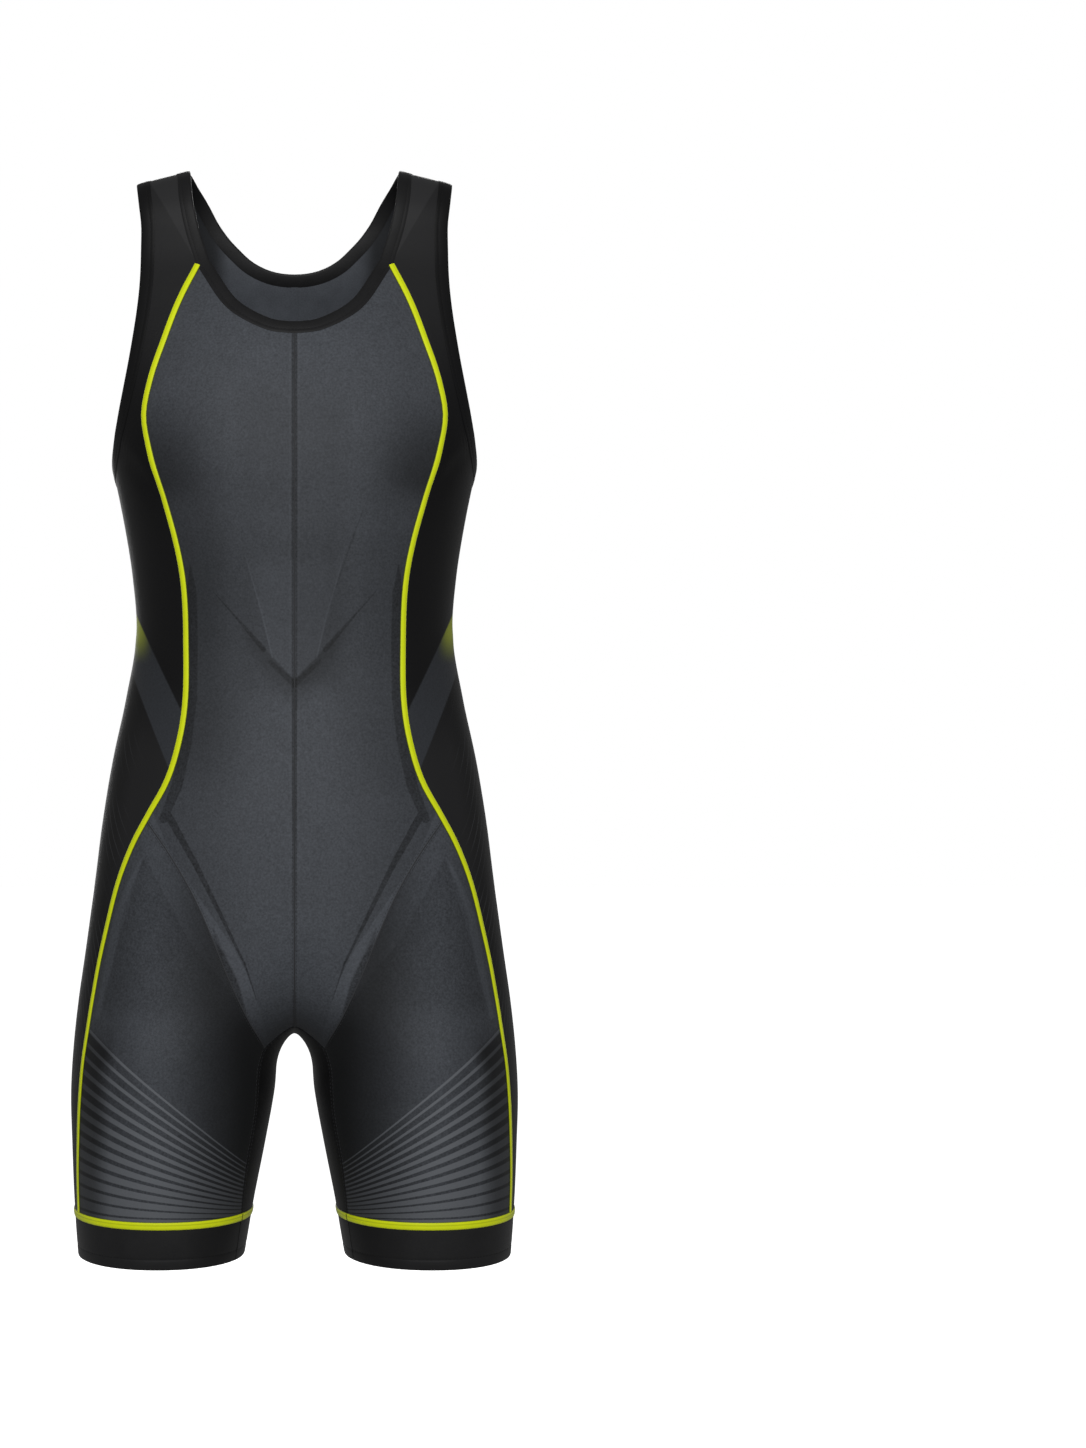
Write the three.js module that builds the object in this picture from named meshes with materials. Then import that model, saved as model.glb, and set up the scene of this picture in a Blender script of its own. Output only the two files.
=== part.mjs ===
// A sleeveless one-piece wrestling suit, standing filled out as it is when worn, with no wearer in it.
// Millimetres. +Z is up, the front faces -Y and the wearer's left side is +X.
// The origin lies midway between the two straps, at the height where the shoulders carry them.
//
// Every piece of cloth follows one smooth general body form. Seams are curves on that form,
// a panel is a net between its seams, and bindings and pipings run along the same seam points.

import * as THREE from "three";

// Cloth and trim sizes
const PANEL_WALL = 1.5;
const GUSSET_WALL = 1.3;
const CUFF_WALL = 2.0;
const SEAM_GAP = 0.3;
const NECK_BINDING_WIDTH = 10;
const ARM_BINDING_FRONT = 10.5;
const ARM_BINDING_BACK = 12.5;
const BINDING_FOLD = 2.2;
const BINDING_PROUD = 0.5;
const BINDING_ROUNDING = 0.2;
const BINDING_EDGE_REACH = 1;
const BINDING_SET_OFF = 0.3;
const PIPING_WIDTH = 5.2;
const PIPING_THICK = 0.8;
const PIPING_SIDE_SHARE = 0.75;
const PIPING_CLEARANCE = 0.55;
const PIPING_NECK_TRIM = 1.2;
const PIPING_SHOULDER_TRIM = 0.6;
const PIPING_JUNCTION_TRIM = 4.5;
const PIPING_CUFF_TRIM = 0.6;
const LIFT_ON_BINDING = [0, 0.35, 0.55];
const CUFF_BAND_WIDTH = 8;
const CUFF_SEAM_HEIGHT = -880;
const HEM_HEIGHT = -916;

// How the nets are evened out, and how far a strip may reach along a slanting row
const EVENING_PASSES = 150;
const LEAST_SKEW = 0.55;

// The general body form: level sections that are rounded ovals
const TORSO_ROUNDNESS = 2.3;
const LEG_ROUNDNESS = 2.1;
const CROTCH_BLEND_TOP = -630;
const CROTCH_BLEND_END = -760;
const DEEP_INSIDE = 40;
const LEG_SPLIT_SOFTNESS = 4;

// Columns: height, half width, front depth, back depth
const TORSO_SECTIONS = [
  [20, 20, 22, 22],
  [12, 48, 28, 28],
  [0, 91, 34, 35],
  [-12, 136, 40, 42],
  [-30, 160, 47, 49],
  [-55, 172, 50, 53],
  [-80, 177, 56, 59],
  [-110, 179, 70, 74],
  [-150, 176, 88, 91],
  [-200, 167, 103, 102],
  [-252, 154, 108, 101],
  [-300, 144, 105, 94],
  [-345, 137, 101, 86],
  [-390, 134, 98, 82],
  [-447, 143, 98, 86],
  [-498, 154, 100, 97],
  [-549, 162.5, 102, 110],
  [-600, 169, 101, 119],
  [-651, 176, 98, 121],
  [-702, 183, 94, 115],
  [-760, 189, 90, 104],
];

// Columns: height, outer side, inner side, front depth, back depth
const LEG_SECTIONS = [
  [-600, 169, -30, 101, 122],
  [-651, 176, -18, 99, 124],
  [-702, 183.5, -2, 95, 114],
  [-736, 187, 12.5, 92, 101],
  [-779, 189.5, 17.5, 87, 90],
  [-821, 188.5, 25, 83, 83],
  [-872, 186.5, 35, 76, 76],
  [-916, 183.5, 42.5, 73, 73],
  [-950, 181, 48, 71, 71],
];

// Seams on the wearer's left half. Columns: across, depth, height. The points settle onto the body form.
const NECK_FRONT = [[0, -87, -148], [7, -87, -147.7], [22, -86, -145], [53, -76, -127], [80, -54, -87]];
const NECK_SIDE = [[99, 0, -2], [97, -27, -8], [95, -40, -29], [90, -46, -55], [80, -54, -87]];
const NECK_BACK = [
  [99, 0, -2],
  [92, 31, -9],
  [83, 41, -23],
  [74, 47, -39],
  [64, 51, -52.5],
  [54.5, 54, -62],
  [45, 56, -70.5],
  [34, 58, -77],
  [22, 60, -81.3],
  [10, 61, -83.4],
  [0, 61, -84],
];
const ARMHOLE_FRONT = [
  [122, 0, -8],
  [122, -24, -16],
  [119, -40, -45],
  [118, -44, -75],
  [119, -56, -109],
  [123, -66, -142],
  [129, -70, -175],
  [136, -65, -207],
  [144, -50, -237],
  [151, -26, -257],
  [153, 0, -265],
  [146, 30, -269],
  [132, 55, -271],
  [115, 70, -271],
];
const ARMHOLE_BACK = [
  [122, 0, -8],
  [118, 24, -15],
  [105, 40, -31],
  [90, 46, -49],
  [81, 51, -66],
  [67, 67, -102],
  [58, 83, -138],
  [56, 93, -172],
  [60, 98, -205],
  [73, 94, -237],
  [92, 84, -261],
  [115, 70, -271],
];
const FRONT_PIPING_BODY = [
  [80, -54, -87],
  [95, -66, -119],
  [107, -75, -153],
  [118, -78, -186],
  [123, -76, -216],
  [119, -78, -243],
  [106, -80, -285],
  [97, -81, -317],
  [91, -81, -350],
  [89, -80, -400],
  [89, -82, -448],
  [94, -83, -481],
  [104, -81, -514],
  [122, -74, -546],
];
const FRONT_PIPING_LEG = [
  [122, -74, -546],
  [133, -68, -566],
  [145, -59, -597],
  [154, -53, -630],
  [162, -49, -664],
  [168, -49, -697],
  [173, -50, -730],
  [177, -47, -764],
  [180, -42, -800],
  [181, -35, -842],
  [181, -31, -880],
];
const THIGH_SEAM = [
  [24, -56, -736],
  [39, -86, -706],
  [55, -94, -671],
  [70, -93, -634],
  [85, -91, -602],
  [104, -85, -571],
  [122, -74, -546],
];
const GUSSET_FRONT_ARCH = [[0, -46, -723], [12, -50, -726], [24, -56, -736]];
const GUSSET_FRONT_LEG = [[24, -56, -736], [29, -53, -762], [33, -48, -794], [40, -45, -836], [45, -36, -880]];
const CENTRE_FRONT = [
  [0, -87, -148],
  [0, -103, -200],
  [0, -105, -300],
  [0, -98, -400],
  [0, -100, -500],
  [0, -100, -600],
  [0, -85, -681],
  [0, -46, -723],
];
const CENTRE_BACK = [
  [0, 61, -84],
  [0, 91, -150],
  [0, 101, -225],
  [0, 86, -345],
  [0, 86, -447],
  [0, 110, -549],
  [0, 121, -640],
  [0, 87, -702],
];
const GUSSET_BACK = [
  [0, 87, -702],
  [14, 88, -706],
  [24, 82, -719],
  [29, 62, -742],
  [34, 53, -788],
  [39, 47, -828],
  [46, 39, -880],
];
const BACK_PIPING = [
  [115, 70, -271],
  [107, 69, -300],
  [98, 68, -333],
  [89, 68, -366],
  [83, 69, -399],
  [82, 71, -418],
  [85, 74, -448],
  [94, 78, -481],
  [105, 81, -513],
  [117, 82, -546],
  [126, 84, -578],
  [138, 84, -644],
  [143, 89, -706],
  [148, 84, -742],
  [153, 76, -776],
  [157, 68, -810],
  [160, 62, -844],
  [161, 59, -880],
];
const SHOULDER_SEAM = [[99, 0, -2], [110, 0, -5], [122, 0, -8]];
const CUFF_FRONT = [[45, -36, -880], [75, -65, -880], [115, -75, -880], [155, -60, -880], [181, -31, -880]];
const CUFF_SIDE = [[181, -31, -880], [186, 0, -880], [180, 32, -880], [161, 59, -880]];
const CUFF_BACK = [[46, 39, -880], [75, 65, -880], [115, 75, -880], [161, 59, -880]];
const CUFF_INNER = [[45, -36, -880], [37, 0, -880], [46, 39, -880]];

// Cells along each seam; seams that face each other across a panel have equal sums.
const CELLS = {
  neckFront: 8,
  neckSide: 6,
  neckBack: 9,
  armholeFront: 20,
  armholeBack: 20,
  pipingBody: 24,
  pipingLeg: 12,
  thigh: 6,
  gussetArch: 2,
  gussetLeg: 12,
  centreBack: 19,
  gussetBack: 14,
  backPiping: 22,
  shoulder: 7,
  cuffInner: 6,
};

// The back piping's cell where the side panel is joined to its lower part
const SIDE_JOIN_CELL = 5;

const CHARCOAL = new THREE.MeshStandardMaterial({ color: 0x35373a, roughness: 0.85, metalness: 0 });
const BLACK = new THREE.MeshStandardMaterial({ color: 0x17181a, roughness: 0.85, metalness: 0 });
const LIME = new THREE.MeshStandardMaterial({ color: 0x9bd31c, roughness: 0.7, metalness: 0 });

const add = (a, b, k = 1) => [a[0] + b[0] * k, a[1] + b[1] * k, a[2] + b[2] * k];
const sub = (a, b) => [a[0] - b[0], a[1] - b[1], a[2] - b[2]];
const dot = (a, b) => a[0] * b[0] + a[1] * b[1] + a[2] * b[2];
const cross = (a, b) => [a[1] * b[2] - a[2] * b[1], a[2] * b[0] - a[0] * b[2], a[0] * b[1] - a[1] * b[0]];
const size = (a) => Math.hypot(a[0], a[1], a[2]);
const unit = (a) => add([0, 0, 0], a, 1 / Math.max(size(a), 1e-9));
const mix = (a, b, t) => add(a, sub(b, a), t);
const mirror = (p) => [-p[0], p[1], p[2]];
const clamp = (v, low, high) => Math.min(Math.max(v, low), high);
const ease = (t) => t * t * (3 - 2 * t);

// A table read smoothly at any height
function smoothTable(rows) {
  const table = [...rows].sort((a, b) => a[0] - b[0]);
  const last = table.length - 1;
  const slopes = table.map((row, i) => {
    if (i === 0 || i === last) {
      const j = i === 0 ? 0 : last - 1;
      return row.map((v, c) => (table[j + 1][c] - table[j][c]) / (table[j + 1][0] - table[j][0]));
    }
    const before = row[0] - table[i - 1][0];
    const after = table[i + 1][0] - row[0];
    return row.map((v, c) => {
      const down = (v - table[i - 1][c]) / before;
      const up = (table[i + 1][c] - v) / after;
      return (down * after + up * before) / (before + after);
    });
  });
  return (height) => {
    const z = clamp(height, table[0][0], table[last][0]);
    let i = 0;
    while (i < last - 1 && z > table[i + 1][0]) i += 1;
    const step = table[i + 1][0] - table[i][0];
    const t = (z - table[i][0]) / step;
    const t2 = t * t;
    const t3 = t2 * t;
    return table[i].map((v, c) => (
      (2 * t3 - 3 * t2 + 1) * v
      + (t3 - 2 * t2 + t) * step * slopes[i][c]
      + (3 * t2 - 2 * t3) * table[i + 1][c]
      + (t3 - t2) * step * slopes[i + 1][c]
    ));
  };
}

const torsoAt = smoothTable(TORSO_SECTIONS);
const legAt = smoothTable(LEG_SECTIONS);

// How far a point lies outside a level oval, measured from its centre
function outsideOval(across, depth, halfWidth, halfDepth, roundness) {
  const reach = Math.hypot(across, depth);
  const ratio = (Math.abs(across / halfWidth) ** roundness + Math.abs(depth / halfDepth) ** roundness)
    ** (1 / roundness);
  return reach - (ratio < 1e-6 ? Math.min(halfWidth, halfDepth) : reach / ratio);
}

// The body form is where this is zero; it is positive outside
function bodyForm([x, y, z]) {
  const [, halfWidth, front, back] = torsoAt(z);
  let torso = outsideOval(x, y, halfWidth, y < 0 ? front : back, TORSO_ROUNDNESS);
  const half = DEEP_INSIDE / 2;
  if (torso < -half) torso = -DEEP_INSIDE + half * Math.exp((torso + half) / half);
  const share = ease(clamp((CROTCH_BLEND_TOP - z) / (CROTCH_BLEND_TOP - CROTCH_BLEND_END), 0, 1));
  if (share === 0) return torso;
  const [, outer, inner, legFront, legBack] = legAt(z);
  const side = Math.sqrt(x * x + LEG_SPLIT_SOFTNESS ** 2);
  const leg = outsideOval(
    side - (outer + inner) / 2, y, (outer - inner) / 2, y < 0 ? legFront : legBack, LEG_ROUNDNESS,
  );
  return (1 - share) * torso + share * leg;
}

function slope(p) {
  const e = 0.5;
  return [0, 1, 2].map((axis) => {
    const ahead = [...p];
    const behind = [...p];
    ahead[axis] += e;
    behind[axis] -= e;
    return (bodyForm(ahead) - bodyForm(behind)) / (2 * e);
  });
}

const outward = (p) => unit(slope(p));

// Moves a point onto the body form, level only where its height must stay
function settle(point, steps = 8, level = false) {
  let p = point;
  for (let k = 0; k < steps; k += 1) {
    const g = slope(p);
    if (level) g[2] = 0;
    p = add(p, g, -bodyForm(p) / Math.max(dot(g, g), 1e-6));
  }
  return p;
}

// A seam: a smooth curve through its settled table points, cut into equal cells
function seam(rows, cells) {
  const level = rows.every((row) => row[2] === CUFF_SEAM_HEIGHT);
  const centred = rows.every((row) => row[0] === 0);
  const knots = rows.map((row) => {
    const p = settle(row, 12, row[2] === CUFF_SEAM_HEIGHT);
    if (row[0] === 0) p[0] = 0;
    return new THREE.Vector3(...p);
  });
  const curve = new THREE.CatmullRomCurve3(knots, false, "centripetal");
  curve.arcLengthDivisions = 600;
  return curve.getSpacedPoints(cells).map((v, i) => {
    if (i === 0 || i === cells) return [v.x, v.y, v.z];
    const p = settle([v.x, v.y, v.z], 8, level);
    if (centred) p[0] = 0;
    return p;
  });
}

const reversed = (points) => [...points].reverse();
const joined = (...runs) => runs.flatMap((run, i) => (i === 0 ? run : run.slice(1)));

const neckFront = seam(NECK_FRONT, CELLS.neckFront);
const neckSide = seam(NECK_SIDE, CELLS.neckSide);
const neckBack = seam(NECK_BACK, CELLS.neckBack);
const armholeFront = seam(ARMHOLE_FRONT, CELLS.armholeFront);
const armholeBack = seam(ARMHOLE_BACK, CELLS.armholeBack);
const pipingBody = seam(FRONT_PIPING_BODY, CELLS.pipingBody);
const pipingLeg = seam(FRONT_PIPING_LEG, CELLS.pipingLeg);
const thigh = seam(THIGH_SEAM, CELLS.thigh);
const gussetArch = seam(GUSSET_FRONT_ARCH, CELLS.gussetArch);
const gussetLeg = seam(GUSSET_FRONT_LEG, CELLS.gussetLeg);
const centreFront = seam(CENTRE_FRONT, CELLS.pipingBody);
const centreBack = seam(CENTRE_BACK, CELLS.centreBack);
const gussetBack = seam(GUSSET_BACK, CELLS.gussetBack);
const backPiping = seam(BACK_PIPING, CELLS.backPiping);
const shoulder = seam(SHOULDER_SEAM, CELLS.shoulder);
const cuffFront = seam(CUFF_FRONT, CELLS.thigh);
const cuffSide = seam(CUFF_SIDE, CELLS.shoulder);
const cuffBack = seam(CUFF_BACK, CELLS.shoulder);
const cuffInner = seam(CUFF_INNER, CELLS.cuffInner);

// Where a net point should lie so that the cells round it are even and don't fold at hollow edges
function evened(net, j, i) {
  const [up, down, back, ahead] = [net[j - 1][i], net[j + 1][i], net[j][i - 1], net[j][i + 1]];
  const across = add([0, 0, 0], sub(ahead, back), 0.5);
  const along = add([0, 0, 0], sub(down, up), 0.5);
  const wAcross = dot(along, along);
  const wAlong = dot(across, across);
  const skew = dot(across, along);
  const twist = sub(
    sub(net[j + 1][i + 1], net[j + 1][i - 1]), sub(net[j - 1][i + 1], net[j - 1][i - 1]),
  );
  const sum = add(add(add([0, 0, 0], add(ahead, back), wAcross), add(down, up), wAlong), twist, -skew / 2);
  return add([0, 0, 0], sum, 0.5 / (wAcross + wAlong));
}

// A net between four seams, blended, laid on the body form and evened out
function panelNet(sideA, sideB, top, bottom) {
  const rows = sideA.length - 1;
  const columns = top.length - 1;
  const net = [];
  for (let j = 0; j <= rows; j += 1) {
    const v = j / rows;
    net.push([]);
    for (let i = 0; i <= columns; i += 1) {
      const u = i / columns;
      const across = mix(sideA[j], sideB[j], u);
      const along = mix(top[i], bottom[i], v);
      const corners = mix(mix(top[0], top[columns], u), mix(bottom[0], bottom[columns], u), v);
      net[j].push(sub(add(across, along), corners));
    }
  }
  net[0] = [...top];
  net[rows] = [...bottom];
  for (let j = 0; j <= rows; j += 1) {
    net[j][0] = sideA[j];
    net[j][columns] = sideB[j];
  }
  for (let pass = 0; pass < EVENING_PASSES; pass += 1) {
    for (let j = 1; j < rows; j += 1) {
      for (let i = 1; i < columns; i += 1) {
        net[j][i] = settle(evened(net, j, i), pass === 0 ? 10 : 1);
      }
    }
  }
  return net.map((row, j) => row.map((p, i) => (
    j > 0 && j < rows && i > 0 && i < columns ? settle(p, 6) : p
  )));
}

// The places round the edge of a net, in order
function edgeOf(net) {
  const rows = net.length - 1;
  const columns = net[0].length - 1;
  const loop = [];
  for (let i = 0; i < columns; i += 1) loop.push([0, i]);
  for (let j = 0; j < rows; j += 1) loop.push([j, columns]);
  for (let i = columns; i > 0; i -= 1) loop.push([rows, i]);
  for (let j = rows; j > 0; j -= 1) loop.push([j, 0]);
  return loop;
}

// Draws a net's edge in from its seams by half the seam gap
function drawnIn(net, gap) {
  const loop = edgeOf(net);
  const count = loop.length;
  const result = net.map((row) => [...row]);
  const at = (k) => {
    const [j, i] = loop[(k + count) % count];
    return net[j][i];
  };
  const turn = (k, side) => {
    const p = at(k);
    const normal = outward(p);
    const before = unit(cross(normal, sub(p, at(k - 1))));
    const after = unit(cross(normal, sub(at(k + 1), p)));
    const both = add(before, after);
    return add([0, 0, 0], both, (side * gap) / Math.max(1 + dot(before, after), 0.2));
  };
  const probe = Math.floor(net[0].length / 2);
  const inside = sub(net[1][probe], net[0][probe]);
  const side = dot(turn(probe, 1), inside) > 0 ? 1 : -1;
  loop.forEach(([j, i], k) => {
    result[j][i] = add(at(k), turn(k, side));
  });
  return result;
}

function geometryOf(points, faces) {
  let volume = 0;
  faces.forEach(([a, b, c]) => {
    volume += dot(points[a], cross(points[b], points[c]));
  });
  const order = volume > 0 ? faces : faces.map(([a, b, c]) => [a, c, b]);
  const geometry = new THREE.BufferGeometry();
  geometry.setAttribute("position", new THREE.Float32BufferAttribute(points.flat(), 3));
  geometry.setIndex(order.flat());
  geometry.computeVertexNormals();
  return geometry;
}

// A closed cloth wall: the net outside, the same net moved in by the wall, and a rim round the edge
function clothWall(net, wall) {
  const rows = net.length;
  const columns = net[0].length;
  const flat = net.flat();
  const points = [...flat, ...flat.map((p) => add(p, outward(p), -wall))];
  const inner = rows * columns;
  const index = (j, i) => j * columns + i;
  const faces = [];
  for (let j = 0; j < rows - 1; j += 1) {
    for (let i = 0; i < columns - 1; i += 1) {
      const [a, b] = [index(j, i), index(j, i + 1)];
      const [c, d] = [index(j + 1, i + 1), index(j + 1, i)];
      faces.push([a, b, c], [a, c, d], [a + inner, c + inner, b + inner], [a + inner, d + inner, c + inner]);
    }
  }
  const loop = edgeOf(net).map(([j, i]) => index(j, i));
  loop.forEach((a, k) => {
    const b = loop[(k + 1) % loop.length];
    faces.push([a, a + inner, b], [b, a + inner, b + inner]);
  });
  return [points, faces];
}

// A band made of equal sections; closed into a ring, or ended by flat caps
function band(sections, ring) {
  const across = sections[0].length;
  const points = sections.flat();
  const faces = [];
  const runs = ring ? sections.length : sections.length - 1;
  for (let s = 0; s < runs; s += 1) {
    const next = (s + 1) % sections.length;
    for (let k = 0; k < across; k += 1) {
      const k2 = (k + 1) % across;
      const [a, b] = [s * across + k, s * across + k2];
      const [c, d] = [next * across + k2, next * across + k];
      faces.push([a, b, c], [a, c, d]);
    }
  }
  if (!ring) {
    const end = (sections.length - 1) * across;
    for (let k = 1; k < across - 1; k += 1) {
      faces.push([0, k + 1, k], [end, end + k, end + k + 1]);
    }
  }
  return [points, faces];
}

const suit = new THREE.Group();

function addPiece(name, [points, faces], material) {
  const mesh = new THREE.Mesh(geometryOf(points, faces), material.clone());
  mesh.name = name;
  suit.add(mesh);
}

function addPair(name, [points, faces], material) {
  addPiece(`${name}_left`, [points, faces], material);
  addPiece(`${name}_right`, [points.map(mirror), faces], material);
}

// Panels
const half = SEAM_GAP / 2;

// A long panel in two walls, which meet along one row of its net
function addSplitPair(upperName, lowerName, net, row, material) {
  addPair(upperName, clothWall(drawnIn(net.slice(0, row + 1), half), PANEL_WALL), material);
  addPair(lowerName, clothWall(drawnIn(net.slice(row), half), PANEL_WALL), material);
}

const frontNet = drawnIn(panelNet(
  centreFront, pipingBody, neckFront, joined(gussetArch, thigh),
), half);
const legNet = drawnIn(panelNet(gussetLeg, pipingLeg, thigh, cuffFront), half);
const sideWhole = panelNet(
  joined(neckSide, pipingBody, pipingLeg), joined(armholeFront, backPiping), shoulder, cuffSide,
);
const sideNet = drawnIn(sideWhole, half);
const backWhole = panelNet(
  joined(neckBack, centreBack, gussetBack), joined(armholeBack, backPiping), shoulder, cuffBack,
);
const backNet = drawnIn(backWhole, half);
const gussetEdgeFront = joined(reversed(gussetLeg), reversed(gussetArch));
const gussetEdgeBack = reversed(gussetBack);
const gussetNet = drawnIn(panelNet(
  joined(gussetEdgeFront, reversed(gussetEdgeFront.map(mirror))),
  joined(gussetEdgeBack, reversed(gussetEdgeBack.map(mirror))),
  cuffInner,
  cuffInner.map(mirror),
), half);

addPair("front_panel", clothWall(frontNet, PANEL_WALL), CHARCOAL);
addPair("front_leg", clothWall(legNet, PANEL_WALL), CHARCOAL);
addSplitPair("side_panel", "side_leg", sideWhole, CELLS.armholeFront + SIDE_JOIN_CELL, BLACK);
addSplitPair("back_panel", "back_leg", backWhole, CELLS.neckBack + CELLS.centreBack, CHARCOAL);
addPiece("gusset", clothWall(gussetNet, GUSSET_WALL), BLACK);

// Bindings: folded strips that go on from the panels' edges into the openings
function bindingSections(loop, widthAt) {
  const count = loop.length;
  return loop.map((p, k) => {
    const normal = outward(p);
    const before = unit(sub(p, loop[(k + count - 1) % count]));
    const after = unit(sub(loop[(k + 1) % count], p));
    const along = unit(add(before, after));
    const inward = unit(cross(normal, along));
    const width = widthAt(p);
    const middle = settle(add(p, inward, width / 2));
    const edge = settle(add(p, inward, width - BINDING_EDGE_REACH));
    const [nm, ne] = [outward(middle), outward(edge)];
    const inEdge = unit(sub(edge, middle));
    const start = add(p, inward, BINDING_SET_OFF);
    const top = BINDING_PROUD - BINDING_ROUNDING;
    const bottom = BINDING_PROUD + BINDING_ROUNDING - BINDING_FOLD;
    return [
      add(start, normal, top),
      add(middle, nm, BINDING_PROUD),
      add(edge, ne, top),
      add(add(edge, inEdge, BINDING_EDGE_REACH), ne, BINDING_PROUD - BINDING_FOLD / 2),
      add(edge, ne, bottom),
      add(middle, nm, BINDING_PROUD - BINDING_FOLD),
      add(start, normal, bottom),
    ];
  });
}

const neckHalf = joined(neckFront, reversed(neckSide), neckBack);
const neckLoop = [...neckHalf, ...reversed(neckHalf.slice(1, -1)).map(mirror)];
addPiece("neck_binding", band(bindingSections(neckLoop, () => NECK_BINDING_WIDTH), true), BLACK);

const armLoop = joined(armholeFront, reversed(armholeBack)).slice(0, -1);
const armWidth = (p) => {
  const share = ease(clamp((p[1] + 40) / 80, 0, 1));
  return ARM_BINDING_FRONT + (ARM_BINDING_BACK - ARM_BINDING_FRONT) * share;
};
const armSections = bindingSections(armLoop, armWidth);
addPair("armhole_binding", band(armSections, true), BLACK);

// Cuffs: doubled rings under the legs
const cuffLoop = joined(cuffFront, cuffSide, reversed(cuffBack), reversed(cuffInner)).slice(0, -1);
const atHeight = (p, height) => settle([p[0], p[1], height], 12, true);
function levelOutward(p) {
  const g = slope(p);
  return unit([g[0], g[1], 0]);
}
const cuffSections = cuffLoop.map((p) => {
  const heights = [CUFF_SEAM_HEIGHT - half, (CUFF_SEAM_HEIGHT + HEM_HEIGHT) / 2, HEM_HEIGHT];
  const outer = heights.map((height) => atHeight(p, height));
  const inner = reversed(outer).map((q) => add(q, levelOutward(q), -CUFF_WALL));
  return [...outer, ...inner];
});
addPair("cuff", band(cuffSections, true), BLACK);

// Pipings: flat strips over the seams, made from the panels' own points and moved out
function stripPoint(p, next, along, reach) {
  const row = unit(sub(next, p));
  const skew = size(sub(row, add([0, 0, 0], along, dot(row, along))));
  return add(p, row, reach / clamp(skew, LEAST_SKEW, 1));
}

function pipingSection(p, along, nextA, nextB, lift = [0, 0, 0]) {
  const reach = PIPING_WIDTH / 2;
  const feet = [stripPoint(p, nextA, along, reach), p, stripPoint(p, nextB, along, reach)];
  const normal = outward(p);
  const under = feet.map((q, k) => add(q, normal, PIPING_CLEARANCE + lift[k]));
  const over = feet.map((q, k) => {
    const crown = k === 1 ? PIPING_THICK : PIPING_THICK * PIPING_SIDE_SHARE;
    return add(q, normal, PIPING_CLEARANCE + lift[k] + crown);
  });
  return [...under, ...reversed(over)];
}

function alongAt(points, k) {
  const before = points[Math.max(k - 1, 0)];
  const after = points[Math.min(k + 1, points.length - 1)];
  return unit(sub(after, before));
}

// Ends a strip short by a length, or carries it on past its last section when the length is negative
function trimmed(sections, startBy, endBy) {
  const last = sections.length - 1;
  const move = (a, b, length) => {
    const span = size(sub(b[1], a[1]));
    return a.map((p, k) => mix(p, b[k], length / span));
  };
  const result = [...sections];
  result[0] = move(sections[0], sections[1], startBy);
  result[last] = move(sections[last], sections[last - 1], endBy);
  return result;
}

const frontRun = joined(pipingBody, pipingLeg);
const bodyCells = CELLS.pipingBody;
const frontPipingSections = frontRun.map((p, k) => {
  const inner = k <= bodyCells ? frontNet[k][CELLS.neckFront - 1] : legNet[k - bodyCells][CELLS.thigh - 1];
  return pipingSection(p, alongAt(frontRun, k), inner, sideNet[CELLS.neckSide + k][1]);
});
const cuffClear = CUFF_BAND_WIDTH / 2 + PIPING_CUFF_TRIM;
addPair("front_piping", band(trimmed(frontPipingSections, PIPING_NECK_TRIM, cuffClear), false), LIME);

const backColumns = CELLS.shoulder;
const armPipingSections = armholeBack.map((p, k) => {
  const along = alongAt(armholeBack, k);
  const away = unit(cross(along, outward(p)));
  const onBinding = add(p, away, PIPING_WIDTH);
  return pipingSection(p, along, backNet[k][backColumns - 1], onBinding, LIFT_ON_BINDING);
});
addPair("back_arm_piping", band(trimmed(armPipingSections, PIPING_SHOULDER_TRIM, 0), false), LIME);

const sidePipingSections = backPiping.map((p, k) => {
  const along = alongAt(backPiping, k);
  const backRow = backNet[CELLS.armholeBack + k][backColumns - 1];
  const sideRow = sideNet[CELLS.armholeFront + k][CELLS.shoulder - 1];
  return pipingSection(p, along, backRow, sideRow);
});
addPair("back_side_piping", band(trimmed(sidePipingSections, PIPING_JUNCTION_TRIM, cuffClear), false), LIME);

// Cuff bands: flat rings over the cuff seams
const cuffBandSections = cuffLoop.map((p) => {
  const reach = CUFF_BAND_WIDTH / 2;
  const rings = [CUFF_SEAM_HEIGHT + reach, CUFF_SEAM_HEIGHT, CUFF_SEAM_HEIGHT - reach];
  const feet = rings.map((height) => atHeight(p, height));
  const under = feet.map((q) => add(q, levelOutward(q), PIPING_CLEARANCE));
  const over = feet.map((q) => add(q, levelOutward(q), PIPING_CLEARANCE + PIPING_THICK));
  return [...under, ...reversed(over)];
});
addPair("cuff_band", band(cuffBandSections, true), LIME);

export default suit;
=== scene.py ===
# A sleeveless one-piece wrestling suit, filled out as it is when worn, with no wearer in it.
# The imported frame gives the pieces; this script dresses each one with fine cloth, trim and thread.
# Tables are in millimetres, in the frame's axes: +Z up, the front faces -Y, the wearer's left is +X.

import math

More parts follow.
